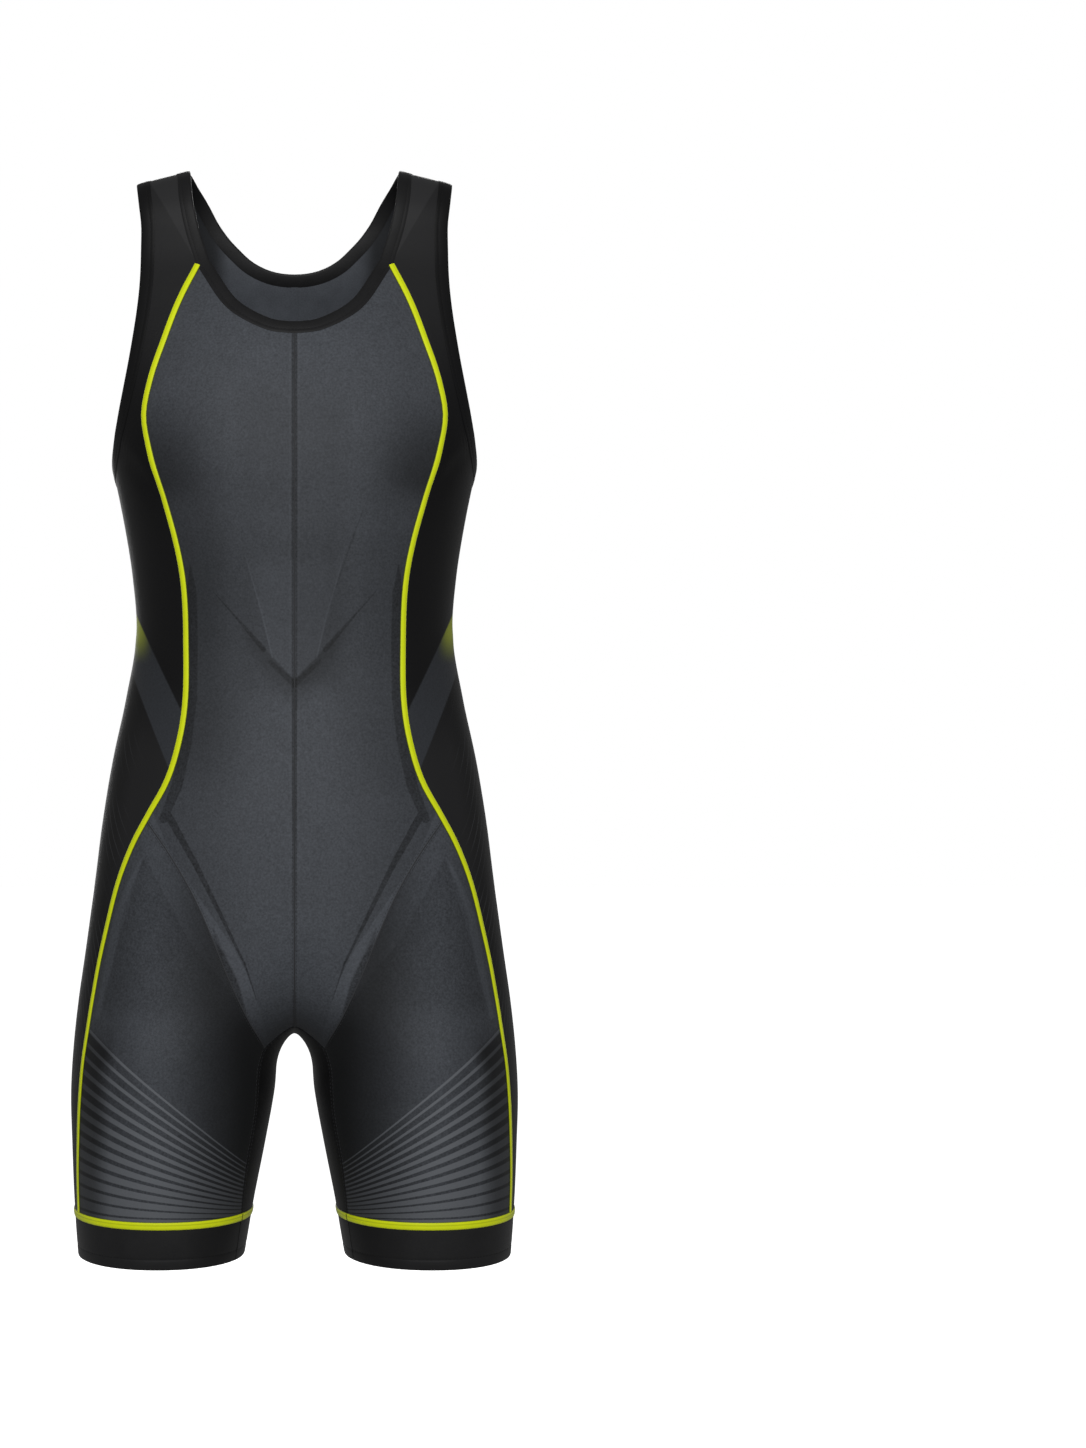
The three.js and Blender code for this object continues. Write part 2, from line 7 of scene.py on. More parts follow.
import bpy
import numpy as np
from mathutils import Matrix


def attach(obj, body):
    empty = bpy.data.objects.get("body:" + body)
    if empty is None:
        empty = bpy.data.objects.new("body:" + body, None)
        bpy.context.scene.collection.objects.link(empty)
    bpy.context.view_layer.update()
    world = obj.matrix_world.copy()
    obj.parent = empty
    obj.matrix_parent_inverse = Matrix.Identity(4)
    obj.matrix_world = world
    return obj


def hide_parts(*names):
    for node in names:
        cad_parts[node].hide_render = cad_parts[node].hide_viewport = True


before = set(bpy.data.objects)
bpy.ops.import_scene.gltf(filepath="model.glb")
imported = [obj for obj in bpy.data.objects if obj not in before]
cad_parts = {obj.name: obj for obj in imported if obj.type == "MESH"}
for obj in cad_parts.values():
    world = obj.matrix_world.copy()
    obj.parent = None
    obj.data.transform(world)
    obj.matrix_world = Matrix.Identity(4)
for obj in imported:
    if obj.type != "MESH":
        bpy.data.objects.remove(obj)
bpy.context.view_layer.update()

MM = 0.001

# Photograph frame and camera
PHOTO_WIDTH = 1086
PHOTO_HEIGHT = 1448
CAMERA_DISTANCE = 2070.0
CAMERA_HEIGHT = -467.5
SIZE_PER_PIXEL = 0.85
GARMENT_CENTRE_PIXEL = 294.5
SENSOR = 36.0
ROOM_LIGHT = 0.22

# Cloth and trim sizes
CLOTH = 0.9
CUFF_CLOTH = 1.9
SEAM_GAP = 0.24
REFINE = 6
NECK_BINDING_WIDTH = 10.0
ARM_BINDING_FRONT = 10.5
ARM_BINDING_BACK = 12.5
ARM_BINDING_BLEND = 40.0
PIPING_WIDTH = 5.8
CUFF_BAND_WIDTH = 6.8
CUFF_BAND_RISE = 0.8
CUFF_SEAM_HEIGHT = -880
HEM_HEIGHT = -916
STITCH_PITCH = 3.2
STITCH_LENGTH = 2.3
THREAD = 0.34
EDGE_SINK = 0.16
TRIM_BASE = 0.12
PIPING_THICK = 1.0
TRIM_CLEARANCE = 0.3
HEM_STITCH_RISE = 9.0
UPPER_STITCH_RISE = 24.5
BINDING_STITCH = 2.1
BINDING_TOP = 0.66
SEAM_STITCHES = (-1.7, 1.7)
SEAM_STITCH_HEIGHT = 0.14

# The knit's loops
LOOP_WIDTH = 0.9
LOOP_HEIGHT = 1.3
BUMP_DEPTH = 0.6
SHEEN_ROUGHNESS = 0.45

# The general body form: level sections that are rounded ovals
TORSO_ROUNDNESS = 2.3
LEG_ROUNDNESS = 2.1
CROTCH_BLEND_TOP = -630
CROTCH_BLEND_END = -760
DEEP_INSIDE = 40
LEG_SPLIT_SOFTNESS = 4
SLOPE_STEP = 0.5

# Columns: height, half width, front depth, back depth
TORSO_SECTIONS = [
    (20, 20, 22, 22),
    (12, 48, 28, 28),
    (0, 91, 34, 35),
    (-12, 136, 40, 42),
    (-30, 160, 47, 49),
    (-55, 172, 50, 53),
    (-80, 177, 56, 59),
    (-110, 179, 70, 74),
    (-150, 176, 88, 91),
    (-200, 167, 103, 102),
    (-252, 154, 108, 101),
    (-300, 144, 105, 94),
    (-345, 137, 101, 86),
    (-390, 134, 98, 82),
    (-447, 143, 98, 86),
    (-498, 154, 100, 97),
    (-549, 162.5, 102, 110),
    (-600, 169, 101, 119),
    (-651, 176, 98, 121),
    (-702, 183, 94, 115),
    (-760, 189, 90, 104),
]

# Columns: height, outer side, inner side, front depth, back depth
LEG_SECTIONS = [
    (-600, 169, -30, 101, 122),
    (-651, 176, -18, 99, 124),
    (-702, 183.5, -2, 95, 114),
    (-736, 187, 12.5, 92, 101),
    (-779, 189.5, 17.5, 87, 90),
    (-821, 188.5, 25, 83, 83),
    (-872, 186.5, 35, 76, 76),
    (-916, 183.5, 42.5, 73, 73),
    (-950, 181, 48, 71, 71),
]

# Seams on the wearer's left half, as in the frame. Columns: across, depth, height.
SEAMS = {
    "neck_front": (
        8,
        [(0, -87, -148), (7, -87, -147.7), (22, -86, -145), (53, -76, -127), (80, -54, -87)],
    ),
    "neck_side": (6, [(99, 0, -2), (97, -27, -8), (95, -40, -29), (90, -46, -55), (80, -54, -87)]),
    "neck_back": (
        9,
        [
            (99, 0, -2), (92, 31, -9), (83, 41, -23), (74, 47, -39), (64, 51, -52.5), (54.5, 54, -62),
            (45, 56, -70.5), (34, 58, -77), (22, 60, -81.3), (10, 61, -83.4), (0, 61, -84),
        ],
    ),
    "armhole_front": (
        20,
        [
            (122, 0, -8), (122, -24, -16), (119, -40, -45), (118, -44, -75), (119, -56, -109),
            (123, -66, -142), (129, -70, -175), (136, -65, -207), (144, -50, -237), (151, -26, -257),
            (153, 0, -265), (146, 30, -269), (132, 55, -271), (115, 70, -271),
        ],
    ),
    "armhole_back": (
        20,
        [
            (122, 0, -8), (118, 24, -15), (105, 40, -31), (90, 46, -49), (81, 51, -66),
            (67, 67, -102), (58, 83, -138), (56, 93, -172), (60, 98, -205), (73, 94, -237),
            (92, 84, -261), (115, 70, -271),
        ],
    ),
    "piping_body": (
        24,
        [
            (80, -54, -87), (95, -66, -119), (107, -75, -153), (118, -78, -186), (123, -76, -216),
            (119, -78, -243), (106, -80, -285), (97, -81, -317), (91, -81, -350), (89, -80, -400),
            (89, -82, -448), (94, -83, -481), (104, -81, -514), (122, -74, -546),
        ],
    ),
    "piping_leg": (
        12,
        [
            (122, -74, -546), (133, -68, -566), (145, -59, -597), (154, -53, -630),
            (162, -49, -664), (168, -49, -697), (173, -50, -730), (177, -47, -764),
            (180, -42, -800), (181, -35, -842), (181, -31, -880),
        ],
    ),
    "thigh": (
        6,
        [
            (24, -56, -736), (39, -86, -706), (55, -94, -671), (70, -93, -634), (85, -91, -602),
            (104, -85, -571), (122, -74, -546),
        ],
    ),
    "gusset_arch": (2, [(0, -46, -723), (12, -50, -726), (24, -56, -736)]),
    "gusset_leg": (
        12,
        [(24, -56, -736), (29, -53, -762), (33, -48, -794), (40, -45, -836), (45, -36, -880)],
    ),
    "centre_front": (
        24,
        [
            (0, -87, -148), (0, -103, -200), (0, -105, -300), (0, -98, -400), (0, -100, -500),
            (0, -100, -600), (0, -85, -681), (0, -46, -723),
        ],
    ),
    "centre_back": (
        19,
        [
            (0, 61, -84), (0, 91, -150), (0, 101, -225), (0, 86, -345), (0, 86, -447),
            (0, 110, -549), (0, 121, -640), (0, 87, -702),
        ],
    ),
    "gusset_back": (
        14,
        [
            (0, 87, -702), (14, 88, -706), (24, 82, -719), (29, 62, -742), (34, 53, -788),
            (39, 47, -828), (46, 39, -880),
        ],
    ),
    "back_piping": (
        22,
        [
            (115, 70, -271), (107, 69, -300), (98, 68, -333), (89, 68, -366), (83, 69, -399),
            (82, 71, -418), (85, 74, -448), (94, 78, -481), (105, 81, -513), (117, 82, -546),
            (126, 84, -578), (138, 84, -644), (143, 89, -706), (148, 84, -742), (153, 76, -776),
            (157, 68, -810), (160, 62, -844), (161, 59, -880),
        ],
    ),
    "shoulder": (7, [(99, 0, -2), (110, 0, -5), (122, 0, -8)]),
    "cuff_front": (
        6,
        [(45, -36, -880), (75, -65, -880), (115, -75, -880), (155, -60, -880), (181, -31, -880)],
    ),
    "cuff_side": (7, [(181, -31, -880), (186, 0, -880), (180, 32, -880), (161, 59, -880)]),
    "cuff_back": (7, [(46, 39, -880), (75, 65, -880), (115, 75, -880), (161, 59, -880)]),
    "cuff_inner": (6, [(45, -36, -880), (37, 0, -880), (46, 39, -880)]),
}

# Soft folds: points along each, how far it reaches in its half breadths, and how far its ends fade
FOLD_STEPS = 14
FOLD_REACH = 4
FOLD_END = 0.06
FOLD_TAPER = 0.8

# Columns: depth (a trough is negative), half breadth, points along the fold.
FOLDS = [
    (-2.0, 8, [(118, 103, -686), (81, 106, -718), (41, 70, -756)]),
    (1.3, 6, [(112, 103, -703), (78, 103, -732), (44, 66, -766)]),
    (-1.4, 6, [(76, 110, -702), (54, 95, -722), (34, 72, -742)]),
    (-1.0, 6, [(111, 104, -714), (103, 101, -728), (94, 97, -748)]),
    (-1.8, 8, [(-116, 103, -688), (-81, 106, -722), (-46, 74, -752)]),
    (1.1, 6, [(-106, 103, -706), (-72, 103, -736), (-42, 68, -764)]),
    (-1.2, 6, [(-70, 110, -706), (-50, 92, -727), (-33, 72, -747)]),
    (-0.9, 6, [(-116, 102, -716), (-108, 99, -732), (-100, 95, -752)]),
    (1.5, 9, [(146, -52, -232), (132, -68, -243), (116, -77, -262)]),
    (-1.1, 9, [(146, -58, -252), (130, -70, -262), (112, -80, -284)]),
    (1.3, 9, [(-146, -52, -230), (-130, -69, -244), (-113, -78, -266)]),
    (-1.0, 9, [(-145, -58, -254), (-128, -71, -266), (-108, -80, -290)]),
    (-1.0, 8, [(20, -80, -700), (36, -92, -680), (56, -96, -648)]),
    (-0.8, 7, [(-18, -80, -702), (-32, -92, -684), (-48, -96, -656)]),
    (-0.8, 9, [(134, 10, -372), (122, 40, -384), (100, 62, -398)]),
    (0.8, 8, [(134, -8, -392), (124, -44, -402), (104, -70, -414)]),
    (-0.9, 9, [(-134, 4, -366), (-123, 38, -380), (-98, 63, -388)]),
    (0.7, 8, [(-134, -12, -398), (-122, -48, -408), (-106, -68, -424)]),
    (-0.7, 8, [(40, -50, -770), (62, -72, -780), (90, -86, -776)]),
    (-0.7, 8, [(-41, -50, -776), (-60, -70, -790), (-84, -82, -792)]),
    (-0.6, 10, [(60, 96, -330), (34, 98, -344), (8, 97, -350)]),
    (-0.6, 10, [(-66, 94, -322), (-40, 98, -338), (-16, 98, -350)]),
]

# Tones, as the eye reads them
CHARCOAL_DARK = (11, 12, 13)
CHARCOAL_LIGHT = (92, 96, 103)
CHARCOAL_SHADE = 0.56
FAN_GREY = (102, 105, 110)
BLACK_CLOTH = (11, 11, 12)
STRAP_CLOTH = (44, 44, 45)
STRIPE_GREY = (92, 94, 98)
SEAM_GREY = (62, 64, 68)
BINDING_BLACK = (15, 15, 16)
CUFF_BLACK = (17, 17, 18)
LIME = (232, 244, 14)
LIME_SHADE = (204, 218, 12)
# Painted shade along the rolled edges of the lime piping and bands.
LIME_EDGE_PAINTED_SHADE = (78, 84, 10)
THREAD_BLACK = (9, 9, 10)
FLOOR_WHITE = (250, 250, 250)

# Tonal lines drawn on the cloth: print lines, with painted shade beside the thigh piping and in the
# creases under the seat, and a painted highlight on a crease's ridge. Each has its softness, then points:
# across, height, half width.
TONAL_LINES = {
    "belly_edge": (0.5, [(40, -331, 0.2), (26, -379, 0.6), (18, -414, 0.7)]),
    "belly_under": (0.9, [(20, -417, 1.6), (0, -435, 2.6)]),
    "belly_taper": (0.7, [(66, -360, 0.15), (44, -385, 1.0), (25, -407, 2.2)]),
    "rib_line": (0.5, [(60, -282, 0.2), (46, -320, 0.9), (34, -356, 0.3)]),
    "hip_strip": (
        0.7,
        [
            (85, -338, 0.4), (84, -360, 4.2), (84, -400, 5.2), (84, -446, 4.6), (88, -481, 4.6),
            (96, -518, 4.6), (107, -545, 3.4),
        ],
    ),
    "groin_thin": (
        0.5,
        [
            (104, -541, 3.4), (100, -547, 3.2), (80, -582, 2.4), (60, -622, 1.6), (40, -663, 0.8),
            (31, -692, 0.2),
        ],
    ),
    "groin_stripe": (
        0.6,
        [
            (120, -540, 4.0), (108, -567, 4.0), (88, -600, 4.0), (69, -628, 4.2), (53, -652, 4.6),
            (41, -677, 5.0), (33, -703, 5.0), (22, -740, 4.0),
        ],
    ),
    "groin_margin": (1.2, [(66, -634, 0.5), (60, -652, 2.6), (49, -677, 3.4), (42, -703, 2.4)]),
    "tent_edge": (
        1.4, [(124, -577, 0.6), (135, -598, 2.2), (146, -626, 3.2), (154, -669, 3.4), (163, -709, 2.2)],
    ),
    # Painted shade beside the thigh's piping.
    "thigh_piping_shade": (
        4.5,
        [
            (148, -584, 3.0), (159, -626, 5.0), (169, -677, 6.0), (178, -737, 6.0), (183, -790, 4.0),
            (184, -850, 1.0),
        ],
    ),
    "racer_edge": (
        0.6,
        [
            (26, -80, 1.4), (18, -112, 1.3), (15, -147, 1.2), (10, -189, 1.1), (6, -230, 0.9),
            (2, -270, 0.5),
        ],
    ),
    "chevron_under": (0.9, [(34, -390, 0.8), (0, -422, 2.6)]),
    "upright": (0.5, [(27, -366, 0.3), (27, -480, 0.5)]),
    "seat_curve": (
        0.5,
        [
            (27, -462, 0.3), (29, -482, 0.7), (33, -510, 1.4), (41, -536, 2.0), (57, -569, 2.4),
            (82, -615, 2.6), (100, -648, 2.4), (118, -682, 1.2),
        ],
    ),
    "leg_line": (
        0.6, [(121, -700, 2.6), (125, -723, 2.6), (139, -766, 2.0), (149, -817, 1.3), (154, -846, 0.3)],
    ),
    # Painted shade in the creases under the seat, and a painted highlight on the ridge between them.
    "crease_outer_shade": (2.6, [(114, -698, 0.6), (95, -716, 2.0), (74, -737, 0.4)]),
    "crease_inner_shade": (2.6, [(94, -715, 0.8), (68, -733, 2.4), (44, -750, 0.4)]),
    "crease_side_shade": (2.2, [(108, -714, 0.3), (99, -729, 1.2), (90, -746, 0.2)]),
    "crease_ridge_highlight": (3.0, [(104, -716, 0.4), (86, -736, 2.4), (70, -748, 0.4)]),
}

# Straight edges of tonal shapes, each from one point to another; the two seat edges bound a painted shadow
# under the seat, and the belly chevron also bounds painted shade below it. Columns: across, height.
TONAL_EDGES = {
    "belly_side": ((18, -414), (40, -331)),
    "belly_point": ((0, -430), (18, -414)),
    "belly_chevron": ((0, -432), (66, -362)),
    "tent_inner": ((124, -574), (86, -643)),
    "tent_lower": ((86, -643), (35, -705)),
    "tent_outer": ((163, -709), (124, -574)),
    "band_upper": ((134, -374), (92, -458)),
    "band_lower": ((138, -420), (96, -520)),
    "strap_facet": ((122, -11), (82, -82)),
    "back_chevron": ((0, -415), (86, -336)),
    "back_dark": ((82, -343), (105, -276)),
    "back_pale": ((74, -400), (82, -343)),
    # Edges of the painted shadow under the seat.
    "seat_shadow_inner": ((25, -712), (76, -707)),
    "seat_shadow_outer": ((76, -707), (122, -694)),
}

# The thigh's fan of stripes: where it starts and ends, how far the top stripe falls on its way
# inwards, how far apart the stripes are, and how they sag between their ends
FAN_COUNT = 13.0
FAN_OUTER = 168.0
FAN_INNER = 40.0
FAN_TOP = 723.0
FAN_FALL = 103.0
FAN_STEP = 12.6
FAN_STEP_CHANGE = -8.2
FAN_SAG = 2.4
FAN_TURN = 7.0
FAN_NARROWING = 0.115
FAN_EVENING = 0.04

# The side's pin stripes: their slopes behind and in front, and how their spacing grows upwards
PIN_SLOPE = 0.85
PIN_STEEPER = 0.95
PIN_FRONT_SLOPE = 1.7
PIN_BOTTOM = 850.0
PIN_LOW = 8.6
PIN_GROWTH = 0.011

# A folded binding's outline. Columns: share of its width from the seam, height over the form.
BINDING_PROFILE = [
    (-0.13, 0.02), (-0.13, 0.34), (-0.06, 0.50), (0.12, 0.60), (0.17, 0.50), (0.22, 0.60), (0.50, 0.66),
    (0.80, 0.62), (0.93, 0.42), (1.0, -0.10), (1.0, -0.70), (0.93, -1.25), (0.80, -1.45), (0.40, -1.45),
    (0.0, -1.35), (-0.13, -1.20), (-0.13, -0.93), (0.02, -0.80), (0.02, -0.10),
]

# Outlines of the seam tape, of a seam line and of the cuffs' seam line. Columns: across, height.
TAPE_PROFILE = [(-3.0, -0.95), (3.0, -0.95), (3.0, -1.25), (-3.0, -1.25)]
SEAM_LINE_PROFILE = [
    (-0.55, -0.05), (-0.3, 0.14), (0.0, 0.2), (0.3, 0.14), (0.55, -0.05), (0.3, -0.3), (-0.3, -0.3),
]
CUFF_LINE_PROFILE = [(-0.5, -0.1), (-0.28, 0.16), (0.0, 0.24), (0.28, 0.16), (0.5, -0.1), (0.0, -0.3)]

# Rings of a stitch. Columns: place along it, share of the thread's girth.
STITCH_RINGS = [(-1.0, 0.35), (-0.6, 0.9), (0.0, 1.0), (0.6, 0.9), (1.0, 0.35)]
THREAD_SIDES = 5

SIDES = (("left", 1), ("right", -1))

# The frame holds each long panel in two parts; the cloth of both is one piece here
LOWER_PARTS = {"side_panel": ("side_leg",), "back_panel": ("back_leg",)}

# Soft lights. Columns: place in metres, width, height, power.
LIGHTS = {
    "key": ((-0.25, -2.7, 0.7), 1.3, 1.3, 43),
    "fill": ((0.7, -2.7, -0.1), 1.3, 1.6, 12),
    "back_key": ((0.25, 2.7, 0.7), 1.3, 1.3, 43),
    "back_fill": ((-0.7, 2.7, -0.1), 1.3, 1.6, 12),
}
FLOOR_REACH = 14.0
FLOOR_LEVEL = -1.55


def smooth_table(rows):
    """A table read smoothly at any height: returns a function of the height."""
    table = np.array(sorted(rows), dtype=float)
    z, values = table[:, 0], table[:, 1:]
    step = np.diff(z)
    rise = np.diff(values, axis=0) / step[:, None]
    slope = np.empty_like(values)
    slope[0] = rise[0]
    slope[-1] = rise[-1]
    weight = (step[:-1] + step[1:])[:, None]
    slope[1:-1] = (rise[:-1] * step[1:, None] + rise[1:] * step[:-1, None]) / weight

    def read(height):
        h = np.clip(height, z[0], z[-1])
        i = np.clip(np.searchsorted(z, h, side="right") - 1, 0, len(z) - 2)
        span = (z[i + 1] - z[i])[:, None]
        t = (h - z[i])[:, None] / span
        t2 = t * t
        t3 = t2 * t
        return (
            (2 * t3 - 3 * t2 + 1) * values[i]
            + (t3 - 2 * t2 + t) * span * slope[i]
            + (3 * t2 - 2 * t3) * values[i + 1]
            + (t3 - t2) * span * slope[i + 1]
        ).T

    return read


torso_at = smooth_table(TORSO_SECTIONS)
leg_at = smooth_table(LEG_SECTIONS)


def eased(share):
    """A share kept between 0 and 1, with soft ends."""
    share = np.clip(share, 0, 1)
    return share * share * (3 - 2 * share)


def outside_oval(across, depth, half_width, half_depth, roundness):
    """About how far points lie outside a rounded oval, on the line from its middle."""
    reach = np.hypot(across, depth)
    total = np.abs(across / half_width) ** roundness + np.abs(depth / half_depth) ** roundness
    ratio = total ** (1 / roundness)
    small = ratio < 1e-6
    edge = np.where(small, np.minimum(half_width, half_depth), reach / np.where(small, 1, ratio))
    return reach - edge


def body_form(points):
    """Zero on the body form, positive outside it."""
    x, y, z = points.T
    half_width, front, back = torso_at(z)
    torso = outside_oval(x, y, half_width, np.where(y < 0, front, back), TORSO_ROUNDNESS)
    half = DEEP_INSIDE / 2
    deep = -DEEP_INSIDE + half * np.exp(np.minimum(torso + half, 0) / half)
    torso = np.where(torso < -half, deep, torso)
    share = eased((CROTCH_BLEND_TOP - z) / (CROTCH_BLEND_TOP - CROTCH_BLEND_END))
    outer, inner, leg_front, leg_back_shade = leg_at(z)
    side = np.sqrt(x * x + LEG_SPLIT_SOFTNESS**2)
    depth = np.where(y < 0, leg_front, leg_back_shade)
    leg = outside_oval(side - (outer + inner) / 2, y, (outer - inner) / 2, depth, LEG_ROUNDNESS)
    return (1 - share) * torso + share * leg


def slope_at(points):
    """The direction in which the body form is left, with the rate of leaving it."""
    result = np.empty_like(points)
    for axis in range(3):
        move = np.zeros(3)
        move[axis] = SLOPE_STEP
        result[:, axis] = (body_form(points + move) - body_form(points - move)) / (2 * SLOPE_STEP)
    return result


def unit(vectors):
    """The vectors at a length of one."""
    return vectors / np.maximum(np.linalg.norm(vectors, axis=-1, keepdims=True), 1e-9)


def outward(points):
    """The direction straight out of the body form at each point."""
    flat = points.reshape(-1, 3)
    return unit(slope_at(flat)).reshape(points.shape)


def settle(points, steps=6, level=False):
    """Moves points onto the body form; level keeps their heights."""
    p = np.array(points, dtype=float).reshape(-1, 3)
    for _ in range(steps):
        g = slope_at(p)
        if level:
            g[:, 2] = 0
        p -= g * (body_form(p) / np.maximum((g * g).sum(axis=1), 1e-6))[:, None]
    return p.reshape(np.shape(points))


def smooth_run(knots, per_span=40):
    """A smooth curve through the knots that doesn't overshoot."""
    k = np.vstack([2 * knots[0] - knots[1], knots, 2 * knots[-1] - knots[-2]])
    runs = []
    for i in range(1, len(k) - 2):
        p0, p1, p2, p3 = k[i - 1 : i + 3]
        d0, d1, d2 = (max(np.linalg.norm(b - a), 1e-6) ** 0.5 for a, b in ((p0, p1), (p1, p2), (p2, p3)))
        t1 = ((p1 - p0) / d0 - (p2 - p0) / (d0 + d1) + (p2 - p1) / d1) * d1
        t2 = ((p2 - p1) / d1 - (p3 - p1) / (d1 + d2) + (p3 - p2) / d2) * d1
        t = np.linspace(0, 1, per_span, endpoint=False)[:, None]
        runs.append(
            p1 + t1 * t + (-3 * p1 + 3 * p2 - 2 * t1 - t2) * t**2 + (2 * p1 - 2 * p2 + t1 + t2) * t**3
        )
    return np.vstack(runs + [knots[-1:]])


def lengths_along(points):
    """How far along a run each of its points lies."""
    return np.concatenate([[0], np.cumsum(np.linalg.norm(np.diff(points, axis=0), axis=1))])


def places_along(points, at):
    """The places at some lengths along a run."""
    along = lengths_along(points)
    return np.stack([np.interp(at, along, points[:, c]) for c in range(3)], axis=1)


def even_steps(points, count):
    """A run with equal steps."""
    return places_along(points, np.linspace(0, lengths_along(points)[-1], count + 1))


def make_seam(cells, rows):
    """A seam's table as a fine run on the body form."""
    knots = np.array(rows, dtype=float)
    level = bool(np.all(knots[:, 2] == CUFF_SEAM_HEIGHT))
    centred = bool(np.all(knots[:, 0] == 0))
    fixed = knots[:, 2] == CUFF_SEAM_HEIGHT
    settled = np.where(fixed[:, None], settle(knots, 12, True), settle(knots, 12))
    settled[knots[:, 0] == 0, 0] = 0
    run = even_steps(smooth_run(settled), cells * REFINE)
    inner = settle(run[1:-1], 8, level)
    if centred:
        inner[:, 0] = 0
    return np.vstack([run[:1], inner, run[-1:]])


def joined(*runs):
    """Runs that meet end to end, as one run."""
    return np.vstack([runs[0]] + [run[1:] for run in runs[1:]])


def mirrored(points):
    """The points on the wearer's other side."""
    return points * np.array([-1.0, 1.0, 1.0])


def blended(side_a, side_b, top, bottom):
    """The net of straight blends between four seams."""
    v = np.linspace(0, 1, len(side_a))[:, None, None]
    u = np.linspace(0, 1, len(top))[None, :, None]
    across = side_a[:, None] * (1 - u) + side_b[:, None] * u
    along = top[None] * (1 - v) + bottom[None] * v
    corners = (top[0] * (1 - u) + top[-1] * u) * (1 - v) + (bottom[0] * (1 - u) + bottom[-1] * u) * v
    return across + along - corners


def evened(net, passes=220):
    """Spreads a net evenly over the form, without folds at hollow edges."""
    inner = (slice(1, -1), slice(1, -1))
    net[inner] = settle(net[inner], 10)
    for _ in range(passes):
        up, down = net[:-2, 1:-1], net[2:, 1:-1]
        back, ahead = net[1:-1, :-2], net[1:-1, 2:]
        across = (ahead - back) / 2
        along = (down - up) / 2
        w_across = (along * along).sum(-1, keepdims=True)
        w_along = (across * across).sum(-1, keepdims=True)
        skew = (across * along).sum(-1, keepdims=True)
        twist = net[2:, 2:] - net[2:, :-2] - net[:-2, 2:] + net[:-2, :-2]
        target = w_across * (ahead + back) + w_along * (down + up) - skew * twist / 2
        target = target / (2 * (w_across + w_along))
        net[inner] = settle(net[inner] * 0.3 + target * 0.7, 1)
    return net


def finer(net, axis, times):
    """A net with more points along one axis, on smooth curves through the old ones."""
    net = np.moveaxis(net, axis, 0)
    k = np.concatenate([2 * net[:1] - net[1:2], net, 2 * net[-1:] - net[-2:-1]])
    t = (np.arange(times) / times).reshape((1, times) + (1,) * (net.ndim - 1))
    p0, p1, p2, p3 = (k[i : len(k) - 3 + i, None] for i in range(4))
    run = 0.5 * (
        2 * p1
        + (p2 - p0) * t
        + (2 * p0 - 5 * p1 + 4 * p2 - p3) * t**2
        + (3 * p1 - p0 - 3 * p2 + p3) * t**3
    )
    run = run.reshape((-1,) + net.shape[1:])
    return np.moveaxis(np.concatenate([run, net[-1:]]), 0, axis)


def fine_net(side_a, side_b, top, bottom):
    """The net of a piece of cloth, evened on its coarse points and then made finer."""
    coarse = blended(side_a[::REFINE], side_b[::REFINE], top[::REFINE], bottom[::REFINE])
    net = finer(finer(evened(coarse), 0, REFINE), 1, REFINE)
    net = net + blended(side_a - net[:, 0], side_b - net[:, -1], top - net[0], bottom - net[-1])
    net[1:-1, 1:-1] = settle(net[1:-1, 1:-1], 4)
    return net


def edge_loop(rows, columns):
    """The places of a net's edge, once round it."""
    loop = [(0, i) for i in range(columns - 1)]
    loop += [(j, columns - 1) for j in range(rows - 1)]
    loop += [(rows - 1, i) for i in range(columns - 1, 0, -1)]
    loop += [(j, 0) for j in range(rows - 1, 0, -1)]
    return np.array(loop)


def drawn_in(net, gap):
    """Draws a net's edge in from its seams."""
    loop = edge_loop(*net.shape[:2])
    p = net[loop[:, 0], loop[:, 1]]
    normal = outward(p)
    before = unit(np.cross(normal, p - np.roll(p, 1, axis=0)))
    after = unit(np.cross(normal, np.roll(p, -1, axis=0) - p))
    both = before + after
    turn = both * gap / np.maximum(1 + (before * after).sum(-1, keepdims=True), 0.3)
    middle = net.shape[1] // 2
    side = np.sign(np.dot(turn[middle], net[1, middle] - net[0, middle]))
    result = net.copy()
    result[loop[:, 0], loop[:, 1]] = p + side * turn
    return result


def fold_height(points):
    """How far the soft folds lift or sink the cloth at each point."""
    flat = points.reshape(-1, 3)
    total = np.zeros(len(flat))
    for depth, breadth, rows in FOLDS:
        run = even_steps(smooth_run(np.array(rows, dtype=float), 8), FOLD_STEPS)
        reach = np.ptp(run, axis=0) / 2 + FOLD_REACH * breadth
        near = np.all(np.abs(flat - run.mean(axis=0)) < reach, axis=1)
        if not near.any():
            continue
        away = np.linalg.norm(flat[near, None] - run[None], axis=2)
        nearest = away.min(axis=1)
        share = away.argmin(axis=1) / (len(run) - 1)
        taper = np.sin(math.pi * (FOLD_END + (1 - 2 * FOLD_END) * share)) ** FOLD_TAPER
        soft = np.exp(-((nearest / breadth) ** 2))
        total[near] += depth * soft * taper
    return total.reshape(points.shape[:-1])


def fold_height_on(points, side):
    """The same for points of the wearer's left half that are to be mirrored where side is -1."""
    return fold_height(points if side > 0 else mirrored(points))


